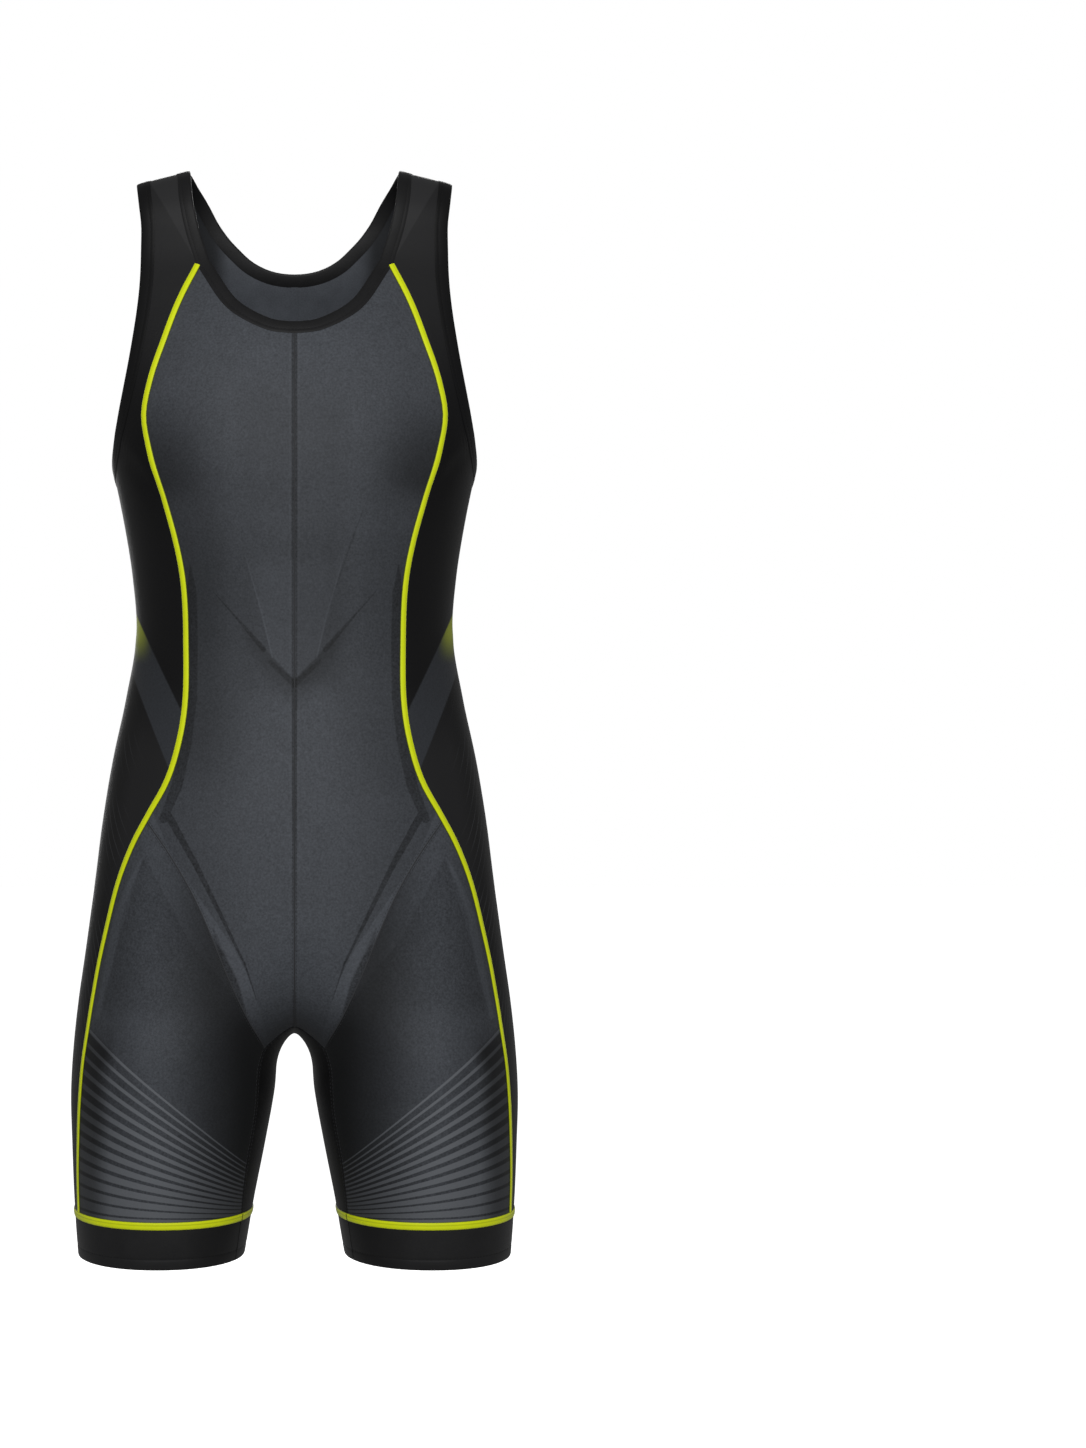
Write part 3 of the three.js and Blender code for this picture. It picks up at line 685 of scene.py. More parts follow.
def make_object(name, verts, faces, uvs=None, sharp=40):
    """A smooth mesh object; edges sharper than an angle in degrees stay sharp."""
    mesh = bpy.data.meshes.new(name)
    mesh.from_pydata((np.asarray(verts) * MM).tolist(), [], [list(map(int, f)) for f in faces])
    mesh.validate()
    if uvs is not None:
        layer = mesh.uv_layers.new(name="cloth")
        corner = np.empty(len(mesh.loops), dtype=np.int32)
        mesh.loops.foreach_get("vertex_index", corner)
        layer.data.foreach_set("uv", (np.asarray(uvs)[corner] * MM).ravel())
    mesh.polygons.foreach_set("use_smooth", [True] * len(mesh.polygons))
    mesh.set_sharp_from_angle(angle=math.radians(sharp))
    mesh.update()
    obj = bpy.data.objects.new(name, mesh)
    bpy.context.scene.collection.objects.link(obj)
    return obj


def outward_faces(verts, faces):
    """Turns all faces round where they enclose the body inside out."""
    v = np.asarray(verts)
    volume = 0.0
    for f in faces:
        for a, b in zip(f[1:-1], f[2:]):
            volume += np.dot(v[f[0]], np.cross(v[a], v[b]))
    return faces if volume > 0 else [f[::-1] for f in faces]


def grid_faces(rows, columns, start=0, turned=False):
    """Four-sided faces between the points of a grid."""
    j, i = np.meshgrid(np.arange(rows - 1), np.arange(columns - 1), indexing="ij")
    a = start + j * columns + i
    quads = np.stack([a, a + 1, a + columns + 1, a + columns], axis=-1).reshape(-1, 4)
    return quads[:, ::-1] if turned else quads


def cloth_shell(name, net, wall=CLOTH, side=1):
    """A closed thin shell of cloth on a net, with rounded, slightly sunk edges at its seams."""
    rows, columns = net.shape[:2]
    normal = outward(net)
    rise = fold_height_on(net, side)[..., None]
    sunk = np.zeros((rows, columns, 1))
    loop = edge_loop(rows, columns)
    sunk[loop[:, 0], loop[:, 1]] = EDGE_SINK
    outer = net + normal * (rise - sunk)
    inner = net + normal * (rise - wall + sunk)
    flat_loop = loop[:, 0] * columns + loop[:, 1]
    rim = (outer.reshape(-1, 3)[flat_loop] + inner.reshape(-1, 3)[flat_loop]) / 2
    count = rows * columns
    verts = np.vstack([outer.reshape(-1, 3), inner.reshape(-1, 3), rim])
    faces = [tuple(f) for f in grid_faces(rows, columns)]
    faces += [tuple(f) for f in grid_faces(rows, columns, count, True)]
    rim_index = 2 * count + np.arange(len(loop))
    for a, b, c, d in zip(flat_loop, np.roll(flat_loop, -1), rim_index, np.roll(rim_index, -1)):
        faces.append((b, a, c, d))
        faces.append((d, c, a + count, b + count))
    step_u = np.linalg.norm(np.diff(net, axis=1), axis=2).mean(axis=0)
    step_v = np.linalg.norm(np.diff(net, axis=0), axis=2).mean(axis=1)
    u = np.concatenate([[0], np.cumsum(step_u)])
    v = np.concatenate([[0], np.cumsum(step_v)])
    uv = np.stack(np.meshgrid(u, v), axis=-1).reshape(-1, 2)
    uvs = np.vstack([uv, uv, uv[flat_loop]])
    if side < 0:
        verts = mirrored(verts)
    faces = turned_out(faces, outer, normal, side)
    return make_object(name, verts, faces, uvs)


def turned_out(faces, outer, normal, side):
    """Keeps the faces of a grid shell pointing out, by looking at its middle cell."""
    j, i = outer.shape[0] // 2, outer.shape[1] // 2
    cross = np.cross(outer[j, i + 1] - outer[j, i], outer[j + 1, i] - outer[j, i])
    out = np.dot(cross, normal[j, i]) * side > 0
    return faces if out else [f[::-1] for f in faces]


def run_frame(run, ring):
    """The directions along and across a run on the form."""
    if ring:
        along = np.roll(run, -1, axis=0) - np.roll(run, 1, axis=0)
    else:
        along = np.gradient(run, axis=0)
    along = unit(along)
    return along, unit(np.cross(outward(run), along))


def tube_faces(count, width, ring, start=0):
    """Faces between closed outlines in a row: joined into a ring, or with a lid at each end."""
    faces = []
    for s in range(count if ring else count - 1):
        a = start + s * width
        b = start + (s + 1) % count * width
        for k in range(width):
            m = (k + 1) % width
            faces.append((a + k, a + m, b + m, b + k))
    if not ring:
        faces.append(tuple(start + k for k in range(width - 1, -1, -1)))
        faces.append(tuple(start + (count - 1) * width + k for k in range(width)))
    return faces


def profile_solid(name, run, columns, reaches, ring, side, sharp=50, level=False):
    """A solid along a run, with a column of points for each point of its profile."""
    verts = np.stack(columns, axis=1)
    count, width = verts.shape[:2]
    flat = verts.reshape(-1, 3)
    if side < 0:
        flat = mirrored(flat)
    faces = outward_faces(flat, tube_faces(count, width, ring))
    reach = np.tile(reaches, count)
    along = np.repeat(lengths_along(run), width)
    uvs = np.stack([along, reach] if level else [reach, along], axis=1)
    return make_object(name, flat, faces, uvs, sharp)


def strip_solid(name, run, profile, ring=False, side=1, scale=1.0, sharp=50):
    """A strip along a run. Each profile point is (across, height); all of them follow the form."""
    across = run_frame(run, ring)[1]
    scale = np.broadcast_to(scale, len(run))[:, None]
    columns = []
    for reach, height in profile:
        foot = settle(run + across * (reach * scale), 3)
        columns.append(foot + outward(foot) * (height + fold_height_on(foot, side))[:, None])
    return profile_solid(name, run, columns, [reach for reach, _ in profile], ring, side, sharp)


def domed(width, thick, base):
    """A strip's profile with a softly domed top and a flat underside."""
    t = np.linspace(-1, 1, 7)
    top = [(width / 2 * v, base + thick * (1 - 0.62 * v**4 - 0.2 * v**2)) for v in t]
    return top + [(width / 2 * v, base) for v in t[::-1][::3]]


def stitches(run, offsets, height, ring=False, side=1):
    """Rows of short thread stitches along a run, as one set of vertices and faces."""
    total = np.linalg.norm(np.diff(run, axis=0), axis=1).sum()
    if ring:
        run = np.vstack([run, run[:1]])
        total += np.linalg.norm(run[-1] - run[-2])
    count = max(int(total / STITCH_PITCH), 2)
    steps = even_steps(run, count * 4)
    along, across = run_frame(steps, False)
    verts, faces = [], []
    for offset in offsets:
        foot = settle(steps + across * offset, 2)
        normal = outward(foot)
        centre = foot + normal * (height + fold_height_on(foot, side))[:, None]
        for p, ahead, aside, up in zip(centre[2::4], along[2::4], across[2::4], normal[2::4]):
            faces += tube_faces(len(STITCH_RINGS), THREAD_SIDES, False, len(verts))
            for place, girth in STITCH_RINGS:
                middle = p + ahead * place * STITCH_LENGTH / 2 - up * (THREAD * 0.9 * place * place)
                for k in range(THREAD_SIDES):
                    angle = 2 * math.pi * k / THREAD_SIDES
                    turned = aside * math.cos(angle) + up * math.sin(angle)
                    verts.append(middle + turned * girth * THREAD / 2)
    verts = np.array(verts)
    if side < 0:
        verts = mirrored(verts)
        faces = [f[::-1] for f in faces]
    return verts, faces


def thread_object(name, *sets):
    """All stitches of some rows as one piece."""
    verts, faces, base = [], [], 0
    for part_verts, part_faces in sets:
        verts.append(part_verts)
        faces += [tuple(i + base for i in f) for f in part_faces]
        base += len(part_verts)
    return make_object(name, np.vstack(verts), faces, None, 80)


class Wire:
    """A number in a material's node tree, with plain arithmetic."""

    def __init__(self, tree, socket):
        self.tree = tree
        self.socket = socket

    def math(self, operation, *others):
        node = self.tree.nodes.new("ShaderNodeMath")
        node.operation = operation
        for slot, value in zip(node.inputs, (self,) + others):
            if isinstance(value, Wire):
                self.tree.links.new(value.socket, slot)
            else:
                slot.default_value = value
        return Wire(self.tree, node.outputs[0])

    def __add__(self, other):
        return self.math("ADD", other)

    def __sub__(self, other):
        return self.math("SUBTRACT", other)

    def __mul__(self, other):
        return self.math("MULTIPLY", other)

    def __truediv__(self, other):
        return self.math("DIVIDE", other)

    def least(self, other):
        return self.math("MINIMUM", other)

    def most(self, other):
        return self.math("MAXIMUM", other)

    def clamped(self):
        return self.most(0.0).least(1.0)

    def size(self):
        return self.math("ABSOLUTE")

    def root(self):
        return self.math("SQRT")

    def part(self):
        return self.math("FRACT")

    def rest(self, share=1.0):
        """1 less a share of this number."""
        return self * -share + 1.0

    def ramp(self, low, high):
        """0 below low, 1 above high, and smooth between; high may be the lower one."""
        t = ((self - low) / (high - low)).clamped()
        return t * t * ((t * -2.0) + 3.0)


class Cloth:
    """A fabric material: its tree, its place sockets and its shader."""

    def __init__(self, name, roughness, sheen, grain=0.22, grain_size=1.8, gloss=0.22):
        self.material = bpy.data.materials.new(name)
        self.material.use_nodes = True
        self.tree = self.material.node_tree
        self.shader = self.tree.nodes["Principled BSDF"]
        self.shader.inputs["Roughness"].default_value = roughness
        self.shader.inputs["Sheen Weight"].default_value = sheen
        self.shader.inputs["Sheen Roughness"].default_value = SHEEN_ROUGHNESS
        self.shader.inputs["Specular IOR Level"].default_value = gloss
        place = self.tree.nodes.new("ShaderNodeTexCoord")
        self.place = place.outputs["Object"]
        self.x, self.y, self.z = self.parts(self.place)
        self.u, self.v, _ = self.parts(place.outputs["UV"])
        self.side = self.x.size()
        self.grain(grain, grain_size)

    def parts(self, vector):
        """The three parts of a place, in millimetres."""
        split = self.tree.nodes.new("ShaderNodeSeparateXYZ")
        self.tree.links.new(vector, split.inputs[0])
        return [Wire(self.tree, output) * (1.0 / MM) for output in split.outputs]

    def noise(self, scale, detail=2.0, rough=0.55):
        node = self.tree.nodes.new("ShaderNodeTexNoise")
        node.inputs["Scale"].default_value = scale
        node.inputs["Detail"].default_value = detail
        node.inputs["Roughness"].default_value = rough
        self.tree.links.new(self.place, node.inputs["Vector"])
        return Wire(self.tree, node.outputs["Fac"])

    def grain(self, strength, size):
        """The knit: fine irregular grain over small rows of loops, as bump."""
        self.fine = self.noise(1000.0 / size, 3.0, 0.6)
        u = self.u * (2.0 * math.pi / LOOP_WIDTH)
        v = self.v * (2.0 * math.pi / LOOP_HEIGHT)
        rows = u.math("SINE") * 0.5 + (v + u.math("SINE") * 1.2).math("SINE") * 0.5
        height = self.fine * 0.75 + rows * 0.16
        bump = self.tree.nodes.new("ShaderNodeBump")
        bump.inputs["Strength"].default_value = strength
        bump.inputs["Distance"].default_value = BUMP_DEPTH * MM
        self.tree.links.new(height.socket, bump.inputs["Height"])
        self.tree.links.new(bump.outputs[0], self.shader.inputs["Normal"])

    def mixed(self, factor, first, second):
        """The first colour where the factor is 0 and the second where it is 1."""
        node = self.tree.nodes.new("ShaderNodeMix")
        node.data_type = "RGBA"
        self.tree.links.new(factor.clamped().socket, node.inputs["Factor"])
        for slot, value in ((node.inputs[6], first), (node.inputs[7], second)):
            if isinstance(value, tuple):
                slot.default_value = tone(value)
            else:
                self.tree.links.new(value, slot)
        return node.outputs[2]

    def colour(self, socket):
        self.tree.links.new(socket, self.shader.inputs["Base Color"])

    def along_line(self, across, a, b):
        """Distance from a line piece a to b in the (across, height) plane, and the share along it."""
        dx, dz = b[0] - a[0], b[1] - a[1]
        length = math.hypot(dx, dz)
        px = across - a[0]
        pz = self.z - a[1]
        t = ((px * (dx / length**2)) + (pz * (dz / length**2))).clamped()
        ex = px - t * dx
        ez = pz - t * dz
        return (ex * ex + ez * ez).root(), t

    def line(self, across, name):
        """A named tonal line: 1 on it, 0 off it."""
        soft, rows = TONAL_LINES[name]
        result = None
        for a, b in zip(rows[:-1], rows[1:]):
            away, t = self.along_line(across, a, b)
            width = t * (b[2] - a[2]) + a[2]
            piece = (width - away).ramp(-soft, soft)
            result = piece if result is None else result.most(piece)
        return result

    def right_of(self, across, name):
        """How far a point lies to the right of a named edge, in the (across, height) plane."""
        a, b = TONAL_EDGES[name]
        dx, dz = b[0] - a[0], b[1] - a[1]
        length = math.hypot(dx, dz)
        return (across - a[0]) * (dz / length) - (self.z - a[1]) * (dx / length)

    def beyond(self, across, name, soft=0.6):
        """1 to the right of a named edge, and 0 to its left."""
        return self.right_of(across, name).ramp(-soft, soft)


def tone(rgb):
    """Display tones (0 to 255) as linear light, with alpha."""
    out = []
    for value in rgb:
        c = value / 255
        out.append(c / 12.92 if c <= 0.04045 else ((c + 0.055) / 1.055) ** 2.4)
    return tuple(out) + (1.0,)


def charcoal_base(cloth, extra, painted_shade):
    """The charcoal knit's shade: a middle grey, mottled a little, plus extra tonal shapes.

    The last argument is painted shade, where less light falls: it darkens all of it, 0 for not at all and
    1 for black."""
    cloudy = (cloth.noise(45.0, 2.0) - 0.5) * 0.12 + (cloth.noise(260.0, 2.0) - 0.5) * 0.14
    shade = cloudy + (cloth.fine - 0.5) * 0.75 + CHARCOAL_SHADE + extra
    return cloth.mixed(shade * painted_shade.rest(), CHARCOAL_DARK, CHARCOAL_LIGHT)


def weighed(*pairs):
    """The sum of some shapes, each times its weight."""
    total = None
    for shape, weight in pairs:
        part = shape * weight
        total = part if total is None else total + part
    return total


def front_material():
    """The front: a chevron on the belly, strips by the piping and the groin, the centre seam with a
    painted highlight beside it, and painted shade towards the sides, under the arms, at the waist, below
    the chevron and at the crotch.
    """
    cloth = Cloth("front_charcoal", 0.6, 0.05)
    across, z = cloth.side, cloth.z
    facet = cloth.beyond(across, "belly_side").rest() * cloth.beyond(across, "belly_point").rest()
    facet = facet * z.ramp(-325.0, -345.0)
    middle = z.ramp(-368.0, -384.0) * z.ramp(-620.0, -600.0)
    fading = z.ramp(-700.0, -540.0)
    seam = (across - z.ramp(-700.0, -360.0) * 0.9).ramp(1.7, 1.1) * (fading * 0.85 + 0.15)
    # A painted highlight beside the centre seam, where its raised edge catches the light.
    seam_highlight = (across - 3.6).size().ramp(0.9, 0.2) * middle.rest(0.3) * fading
    low_seam = (across - 1.1).ramp(0.5, -0.5) * z.ramp(-674.0, -692.0)
    extra = weighed(
        (cloth.line(across, "belly_edge"), 0.19),
        (facet, 0.12),
        (cloth.line(across, "belly_under"), -0.24),
        (cloth.line(across, "belly_taper"), -0.28),
        (cloth.line(across, "hip_strip").most(cloth.line(across, "groin_thin") * 1.15), -0.27),
        (cloth.line(across, "groin_stripe"), z.ramp(-712.0, -640.0) * 0.14 + 0.06),
        (seam, -0.25),
        (seam_highlight, 0.07),
        (cloth.line(cloth.x, "rib_line"), -0.14),
        (cloth.line(across, "groin_margin"), -0.28),
        (low_seam, -0.20),
    )
    # Painted shade: darker where the form turns from the light towards the sides, less on the wearer's
    # left, which is lit more; under the arms; a little all over and more at the waist; down the middle of
    # the chest and belly; beside the centre on the wearer's left; below the chevron; and at the crotch.
    half_width = z.ramp(-340.0, -230.0) * 30.0 + z.ramp(-460.0, -560.0) * 22.0 + 90.0
    sides = z.ramp(-275.0, -195.0) * -0.33 + z.ramp(-470.0, -545.0) * -0.26 + 0.48
    lit = cloth.x.ramp(20.0, 60.0) * z.ramp(-262.0, -300.0) * z.ramp(-520.0, -480.0)
    armpit_shade = across.ramp(62.0, 108.0) * z.ramp(-190.0, -245.0) * z.ramp(-292.0, -268.0)
    turned = (across / half_width).ramp(0.20, 0.82) * sides * lit.rest(0.35) + armpit_shade * 0.22
    crotch_shade = z.ramp(-672.0, -738.0) * 0.62
    hollow = z.ramp(-300.0, -350.0) * z.ramp(-440.0, -390.0) * 0.08 + 0.04
    middle_shade = across.ramp(54.0, 30.0) * z.ramp(-165.0, -225.0) * z.ramp(-455.0, -425.0) * 0.20
    right_shade = cloth.x.ramp(1.0, 3.0) * cloth.x.ramp(40.0, 28.0) * z.ramp(-280.0, -330.0)
    right_shade = right_shade * z.ramp(-446.0, -432.0) * 0.10
    below = cloth.right_of(across, "belly_chevron")
    chevron_shade = below.ramp(-1.0, 1.0) * below.ramp(24.0, 2.0) * across.ramp(78.0, 56.0) * 0.26
    painted_shade = turned.most(crotch_shade).most(chevron_shade) + hollow + middle_shade + right_shade
    cloth.colour(charcoal_base(cloth, extra, painted_shade))
    return cloth.material


def fan_stripe_number(cloth, u):
    """The fan's stripes are numbered down from the top one; u is 0 at the outer end and 1 at the inner."""
    w = u * (u * -1.0 + 1.0)
    a = u * FAN_EVENING - FAN_NARROWING
    b = u * FAN_STEP_CHANGE + FAN_STEP
    c = u * FAN_FALL + w * FAN_SAG + u * u * u * u * FAN_TURN + FAN_TOP + cloth.z
    return (c * -2.0) / (b + (b * b - a * c * 4.0).most(0.0).root())


def thigh_material():
    """The thigh front: a darker tent, a light edge, and a fan of grey stripes above the cuff, under
    painted shade on the inner side, towards the outer side, along the piping and by the hem.
    """
    cloth = Cloth("thigh_charcoal", 0.6, 0.05)
    across, z = cloth.side, cloth.z
    right = cloth.beyond(across, "tent_inner", 1.2).least(cloth.beyond(across, "tent_lower", 1.2))
    left = cloth.beyond(across, "tent_outer", 1.2).rest()
    tent = left * right.rest() * z.ramp(-716.0, -690.0)
    # Painted shade: on the inside of the leg, by the hem's inner side, towards the outer side, and along
    # the piping above and beside it lower down.
    inner = across.ramp(118.0, 62.0) * 0.76
    hem_side_shade = across.ramp(74.0, 38.0) * z.ramp(-676.0, -720.0) * 0.2
    outer = across.ramp(116.0, 152.0) * z.ramp(-800.0, -862.0).rest(0.5) * 0.34
    upper_piping_shade = cloth.line(across, "thigh_piping_shade") * 0.5
    widened = across + z.ramp(-760.0, -725.0) * 12.0 - z.ramp(-790.0, -850.0) * 4.0
    u = ((across * -1.0 + FAN_OUTER) / (FAN_OUTER - FAN_INNER)).most(-0.12).least(1.1)
    number = fan_stripe_number(cloth, u)
    by_piping_painted_light = widened.ramp(140.0, 166.0) * (z.ramp(-780.0, -860.0) * -0.1 + 0.92)
    by_piping_painted_light = by_piping_painted_light * z.ramp(-676.0, -736.0) * (number.ramp(-0.5, 0.3) * 0.45 + 0.55)
    painted_shade = inner.most(outer).most(upper_piping_shade).most(by_piping_painted_light) + hem_side_shade
    share = (number / FAN_COUNT).clamped()
    width = share * 0.26 + 0.12
    from_centre = ((number + 0.5).part() - 0.5).size()
    stripe = (width - from_centre).ramp(-0.055, 0.04)
    inside = number.ramp(-0.4, -0.2) * u.ramp(1.08, 0.98)
    ground = number.ramp(-0.2, 1.0) * u.ramp(1.05, 0.8)
    extra = cloth.line(across, "tent_edge") * 0.17 - tent * 0.11 - ground * (share * 0.12 + 0.05) - 0.02
    base = charcoal_base(cloth, extra, painted_shade)
    # The grey stripes fade where the painted shade falls.
    light = painted_shade.rest(0.72).clamped() * (share * share).rest(0.22) * by_piping_painted_light.rest(0.4)
    cloth.colour(cloth.mixed(stripe * inside * light, base, FAN_GREY))
    return cloth.material


def pin_stripes(cloth):
    """Fine stripes that slant down from the side's middle both ways, closer together lower down."""
    steep = cloth.z.ramp(-300.0, -780.0) * PIN_STEEPER + PIN_SLOPE
    slanted = cloth.z + cloth.y.most(0.0) * steep + cloth.y.least(0.0) * -PIN_FRONT_SLOPE
    spacing = (slanted + PIN_BOTTOM) * PIN_GROWTH + PIN_LOW
    phase = spacing.math("LOGARITHM", math.e) / PIN_GROWTH
    from_centre = ((phase + 0.5).part() - 0.5).size() * spacing
    return from_centre.ramp(0.85, 0.35)


def side_material():
    """The side: black, a charcoal strap front, a grey slanting band, a lime flash and fine pin stripes,
    with a painted highlight low down by the front piping and towards the side's middle.
    """
    cloth = Cloth("side_black", 0.5, 0.035, gloss=0.14)
    across, y, z = cloth.side, cloth.y, cloth.z
    under_first = cloth.beyond(across, "band_upper", 0.8).rest()
    over_second = cloth.beyond(across, "band_lower", 0.8)
    band = under_first * over_second * y.ramp(5.0, -7.0)
    strap = z.ramp(-250.0, -70.0) * (y.ramp(60.0, 10.0) * 0.6 + 0.4)
    facet = cloth.beyond(across, "strap_facet", 1.2) * z.ramp(-98.0, -80.0)
    behind = y.ramp(-22.0, 4.0) * (y.ramp(72.0, 24.0) * 0.5 + 0.5)
    faint = (cloth.noise(22.0, 1.0) - 0.35).ramp(0.0, 0.3) * y.ramp(-68.0, -44.0) * 0.42
    shown = behind.most(z.ramp(-430.0, -520.0) * faint) * z.ramp(-270.0, -300.0)
    pins = pin_stripes(cloth) * shown * band.rest()
    flash = under_first * z.ramp(-419.0, -386.0) * across.ramp(117.0, 134.0)
    flash = flash * z.ramp(-362.0, -380.0) * (z - y * 1.1 + 390.0).ramp(-4.0, 9.0)
    mottle = (cloth.fine - 0.5) * 0.3
    rise = y.ramp(-30.0, -70.0) * z.ramp(-260.0, -330.0) * 0.10
    black = cloth.mixed(mottle * 0.5 + strap * 0.62 + facet * 0.7 + rise + 0.02, BLACK_CLOTH, STRAP_CLOTH)
    # Painted highlight low on the side, below the band: lighter by the front piping and towards the side's
    # middle, where the rounded form catches light.
    by_piping_painted_light = y.ramp(-42.0, -64.0) * 0.55
    side_rim_highlight = y.ramp(-26.0, 0.0) * 0.30
    lower = cloth.mixed(z.ramp(-430.0, -500.0) * by_piping_painted_light.most(side_rim_highlight), black, STRAP_CLOTH)
    grey = cloth.mixed(mottle * 0.6 + z.ramp(-360.0, -500.0) * 0.08 + 0.20, CHARCOAL_DARK, CHARCOAL_LIGHT)
    with_pins = cloth.mixed(pins * 0.8, cloth.mixed(band, lower, grey), STRIPE_GREY)
    cloth.colour(cloth.mixed(flash * 0.62, with_pins, LIME_SHADE))
    return cloth.material


def back_material():
    """The back: a wedge between the shoulders, a chevron, facets, and painted shadow below the chevron and
    under the seat, with painted shade in the creases, towards the sides, inside the legs and up the back.
    """
    cloth = Cloth("back_charcoal", 0.6, 0.05)
    across, z = cloth.side, cloth.z
    wedge = (across - ((z + 285.0) * 0.118).most(0.0)).ramp(0.6, -0.6) * z.ramp(-300.0, -225.0)
    core = (across - ((z + 275.0) * 0.046).most(0.0)).ramp(0.6, -0.6) * z.ramp(-290.0, -200.0)
    seam = (across - (z.ramp(-560.0, -700.0) * -1.3 + 2.6)).ramp(0.7, -0.7)
    below_chevron = cloth.right_of(across, "back_chevron")
    chevron = below_chevron.ramp(-0.9, 0.9)
    shadow = chevron * below_chevron.ramp(24.0, 0.0)
    beside = chevron * below_chevron.ramp(120.0, 20.0) * across.ramp(26.2, 27.6)
    dark = cloth.beyond(across, "back_dark", 0.8) * z.ramp(-342.0, -336.0) * z.ramp(-270.0, -277.0)
    pale = cloth.beyond(across, "back_pale", 0.8) * z.ramp(-352.0, -345.0).rest()
    pale = pale * z.ramp(-428.0, -400.0) * z.ramp(-340.0, -346.0)
    # Painted shade in the creases under the seat.
    crease_shade = cloth.line(across, "crease_outer_shade").most(cloth.line(across, "crease_inner_shade")).most(
        cloth.line(across, "crease_side_shade")
    )
    extra = weighed(
        (cloth.line(across, "racer_edge"), 0.09),
        (wedge * (z.ramp(-260.0, -80.0) * 0.14 + 0.12), -1.0),
        (core, -0.10),
        (seam, -0.28),
        (shadow, -0.14),
        (beside, -0.19),
        (cloth.line(across, "chevron_under"), -0.20),
        (dark, -0.24),
        (pale, 0.15),
        (cloth.line(across, "upright"), 0.10),
        (cloth.line(across, "seat_curve"), -0.28),
        (cloth.line(across, "leg_line"), -0.26),
        (crease_shade, -0.20),
        (cloth.line(across, "crease_ridge_highlight"), 0.08),
    )
    # Painted shade: towards the inside of the legs, towards the sides lower down, a painted shadow under
    # the seat, down the backs of the legs, and growing up the back, less at the top.
    inner = across.ramp(84.0, 36.0) * z.ramp(-690.0, -740.0) * 0.6
    half_width = z.ramp(-470.0, -640.0) * 54.0 + 86.0
    turned = (across / half_width).ramp(0.35, 1.1) * z.ramp(-270.0, -330.0) * 0.36
    seat_shadow_edge = cloth.right_of(across, "seat_shadow_inner").most(cloth.right_of(across, "seat_shadow_outer"))
    above = (z - across.ramp(72.0, 25.0) * 16.0).ramp(-648.0, -704.0)
    under_seat_shadow = above * seat_shadow_edge.ramp(-4.0, 34.0).rest(0.82) * (across.ramp(58.0, 96.0) * -0.20 + 0.96)
    leg_back_shade = z.ramp(-690.0, -750.0) * 0.12
    upper = z.ramp(-560.0, -170.0) * 0.48 * z.ramp(-132.0, -88.0).rest(0.5)
    painted_shade = turned.most(inner).most(under_seat_shadow).most(leg_back_shade).most(upper)
    cloth.colour(charcoal_base(cloth, extra, painted_shade))
    return cloth.material


def plain_material(name, base, light, roughness, sheen, shade=0.4, inner=0.0, depth=0.0):
    """Plain knit between two tones.

    inner is painted shade towards the inside of the legs, and depth is painted shade down inside the body
    and the straps."""
    cloth = Cloth(name, roughness, sheen, 0.14, 1.2, 0.18)
    mottle = (cloth.noise(60.0, 2.0) - 0.5) * 0.3 + (cloth.fine - 0.5) * 0.4 + shade
    # Painted shade towards the inside of the legs.
    if inner:
        mottle = mottle * cloth.side.ramp(100.0, 55.0).rest(inner)
    # Painted shade deeper inside the body, and in a corner inside the straps.
    if depth:
        mottle = mottle * cloth.z.ramp(-115.0, -235.0).rest(depth)
        corner = cloth.side.ramp(54.0, 72.0) * cloth.y.ramp(-5.0, 15.0) * cloth.z.ramp(-140.0, -110.0)
        mottle = mottle * corner.rest(depth)
    cloth.colour(cloth.mixed(mottle, base, light))
    return cloth.material


def lime_cloth(name):
    """Lime knit between its two tones: the cloth and its colour."""
    cloth = Cloth(name, 0.5, 0.12, 0.08, 0.8)
    shade = (cloth.noise(90.0, 2.0) - 0.5) * 0.5 + (cloth.fine - 0.5) * 0.6 + 0.55
    return cloth, cloth.mixed(shade, LIME_SHADE, LIME)


def piping_material():
    """Lime piping: painted shade along both edges, where its dome turns down."""
    cloth, lime = lime_cloth("lime_piping")
    edge = cloth.u.size().ramp(PIPING_WIDTH / 2 - 0.85, PIPING_WIDTH / 2 - 0.15)
    crease = (cloth.u - 0.7).size().ramp(0.45, 0.1) * 0.22
    cloth.colour(cloth.mixed(edge.most(crease), lime, LIME_EDGE_PAINTED_SHADE))
    return cloth.material


def band_material():
    """Lime band over the cuff seam: painted shade along its edges and a sewn line along its middle."""
    cloth, lime = lime_cloth("lime_band")
    across = cloth.z - (CUFF_SEAM_HEIGHT + CUFF_BAND_RISE)
    edge = across.size().ramp(CUFF_BAND_WIDTH / 2 - 0.7, CUFF_BAND_WIDTH / 2 - 0.05)
    crease = (across - 0.8).size().ramp(0.55, 0.15) * 0.25
    cloth.colour(cloth.mixed(edge.most(crease), lime, LIME_EDGE_PAINTED_SHADE))
    return cloth.material


def build_seams():
    """Every seam of the wearer's left half, by its name."""
    return {name: make_seam(cells, rows) for name, (cells, rows) in SEAMS.items()}


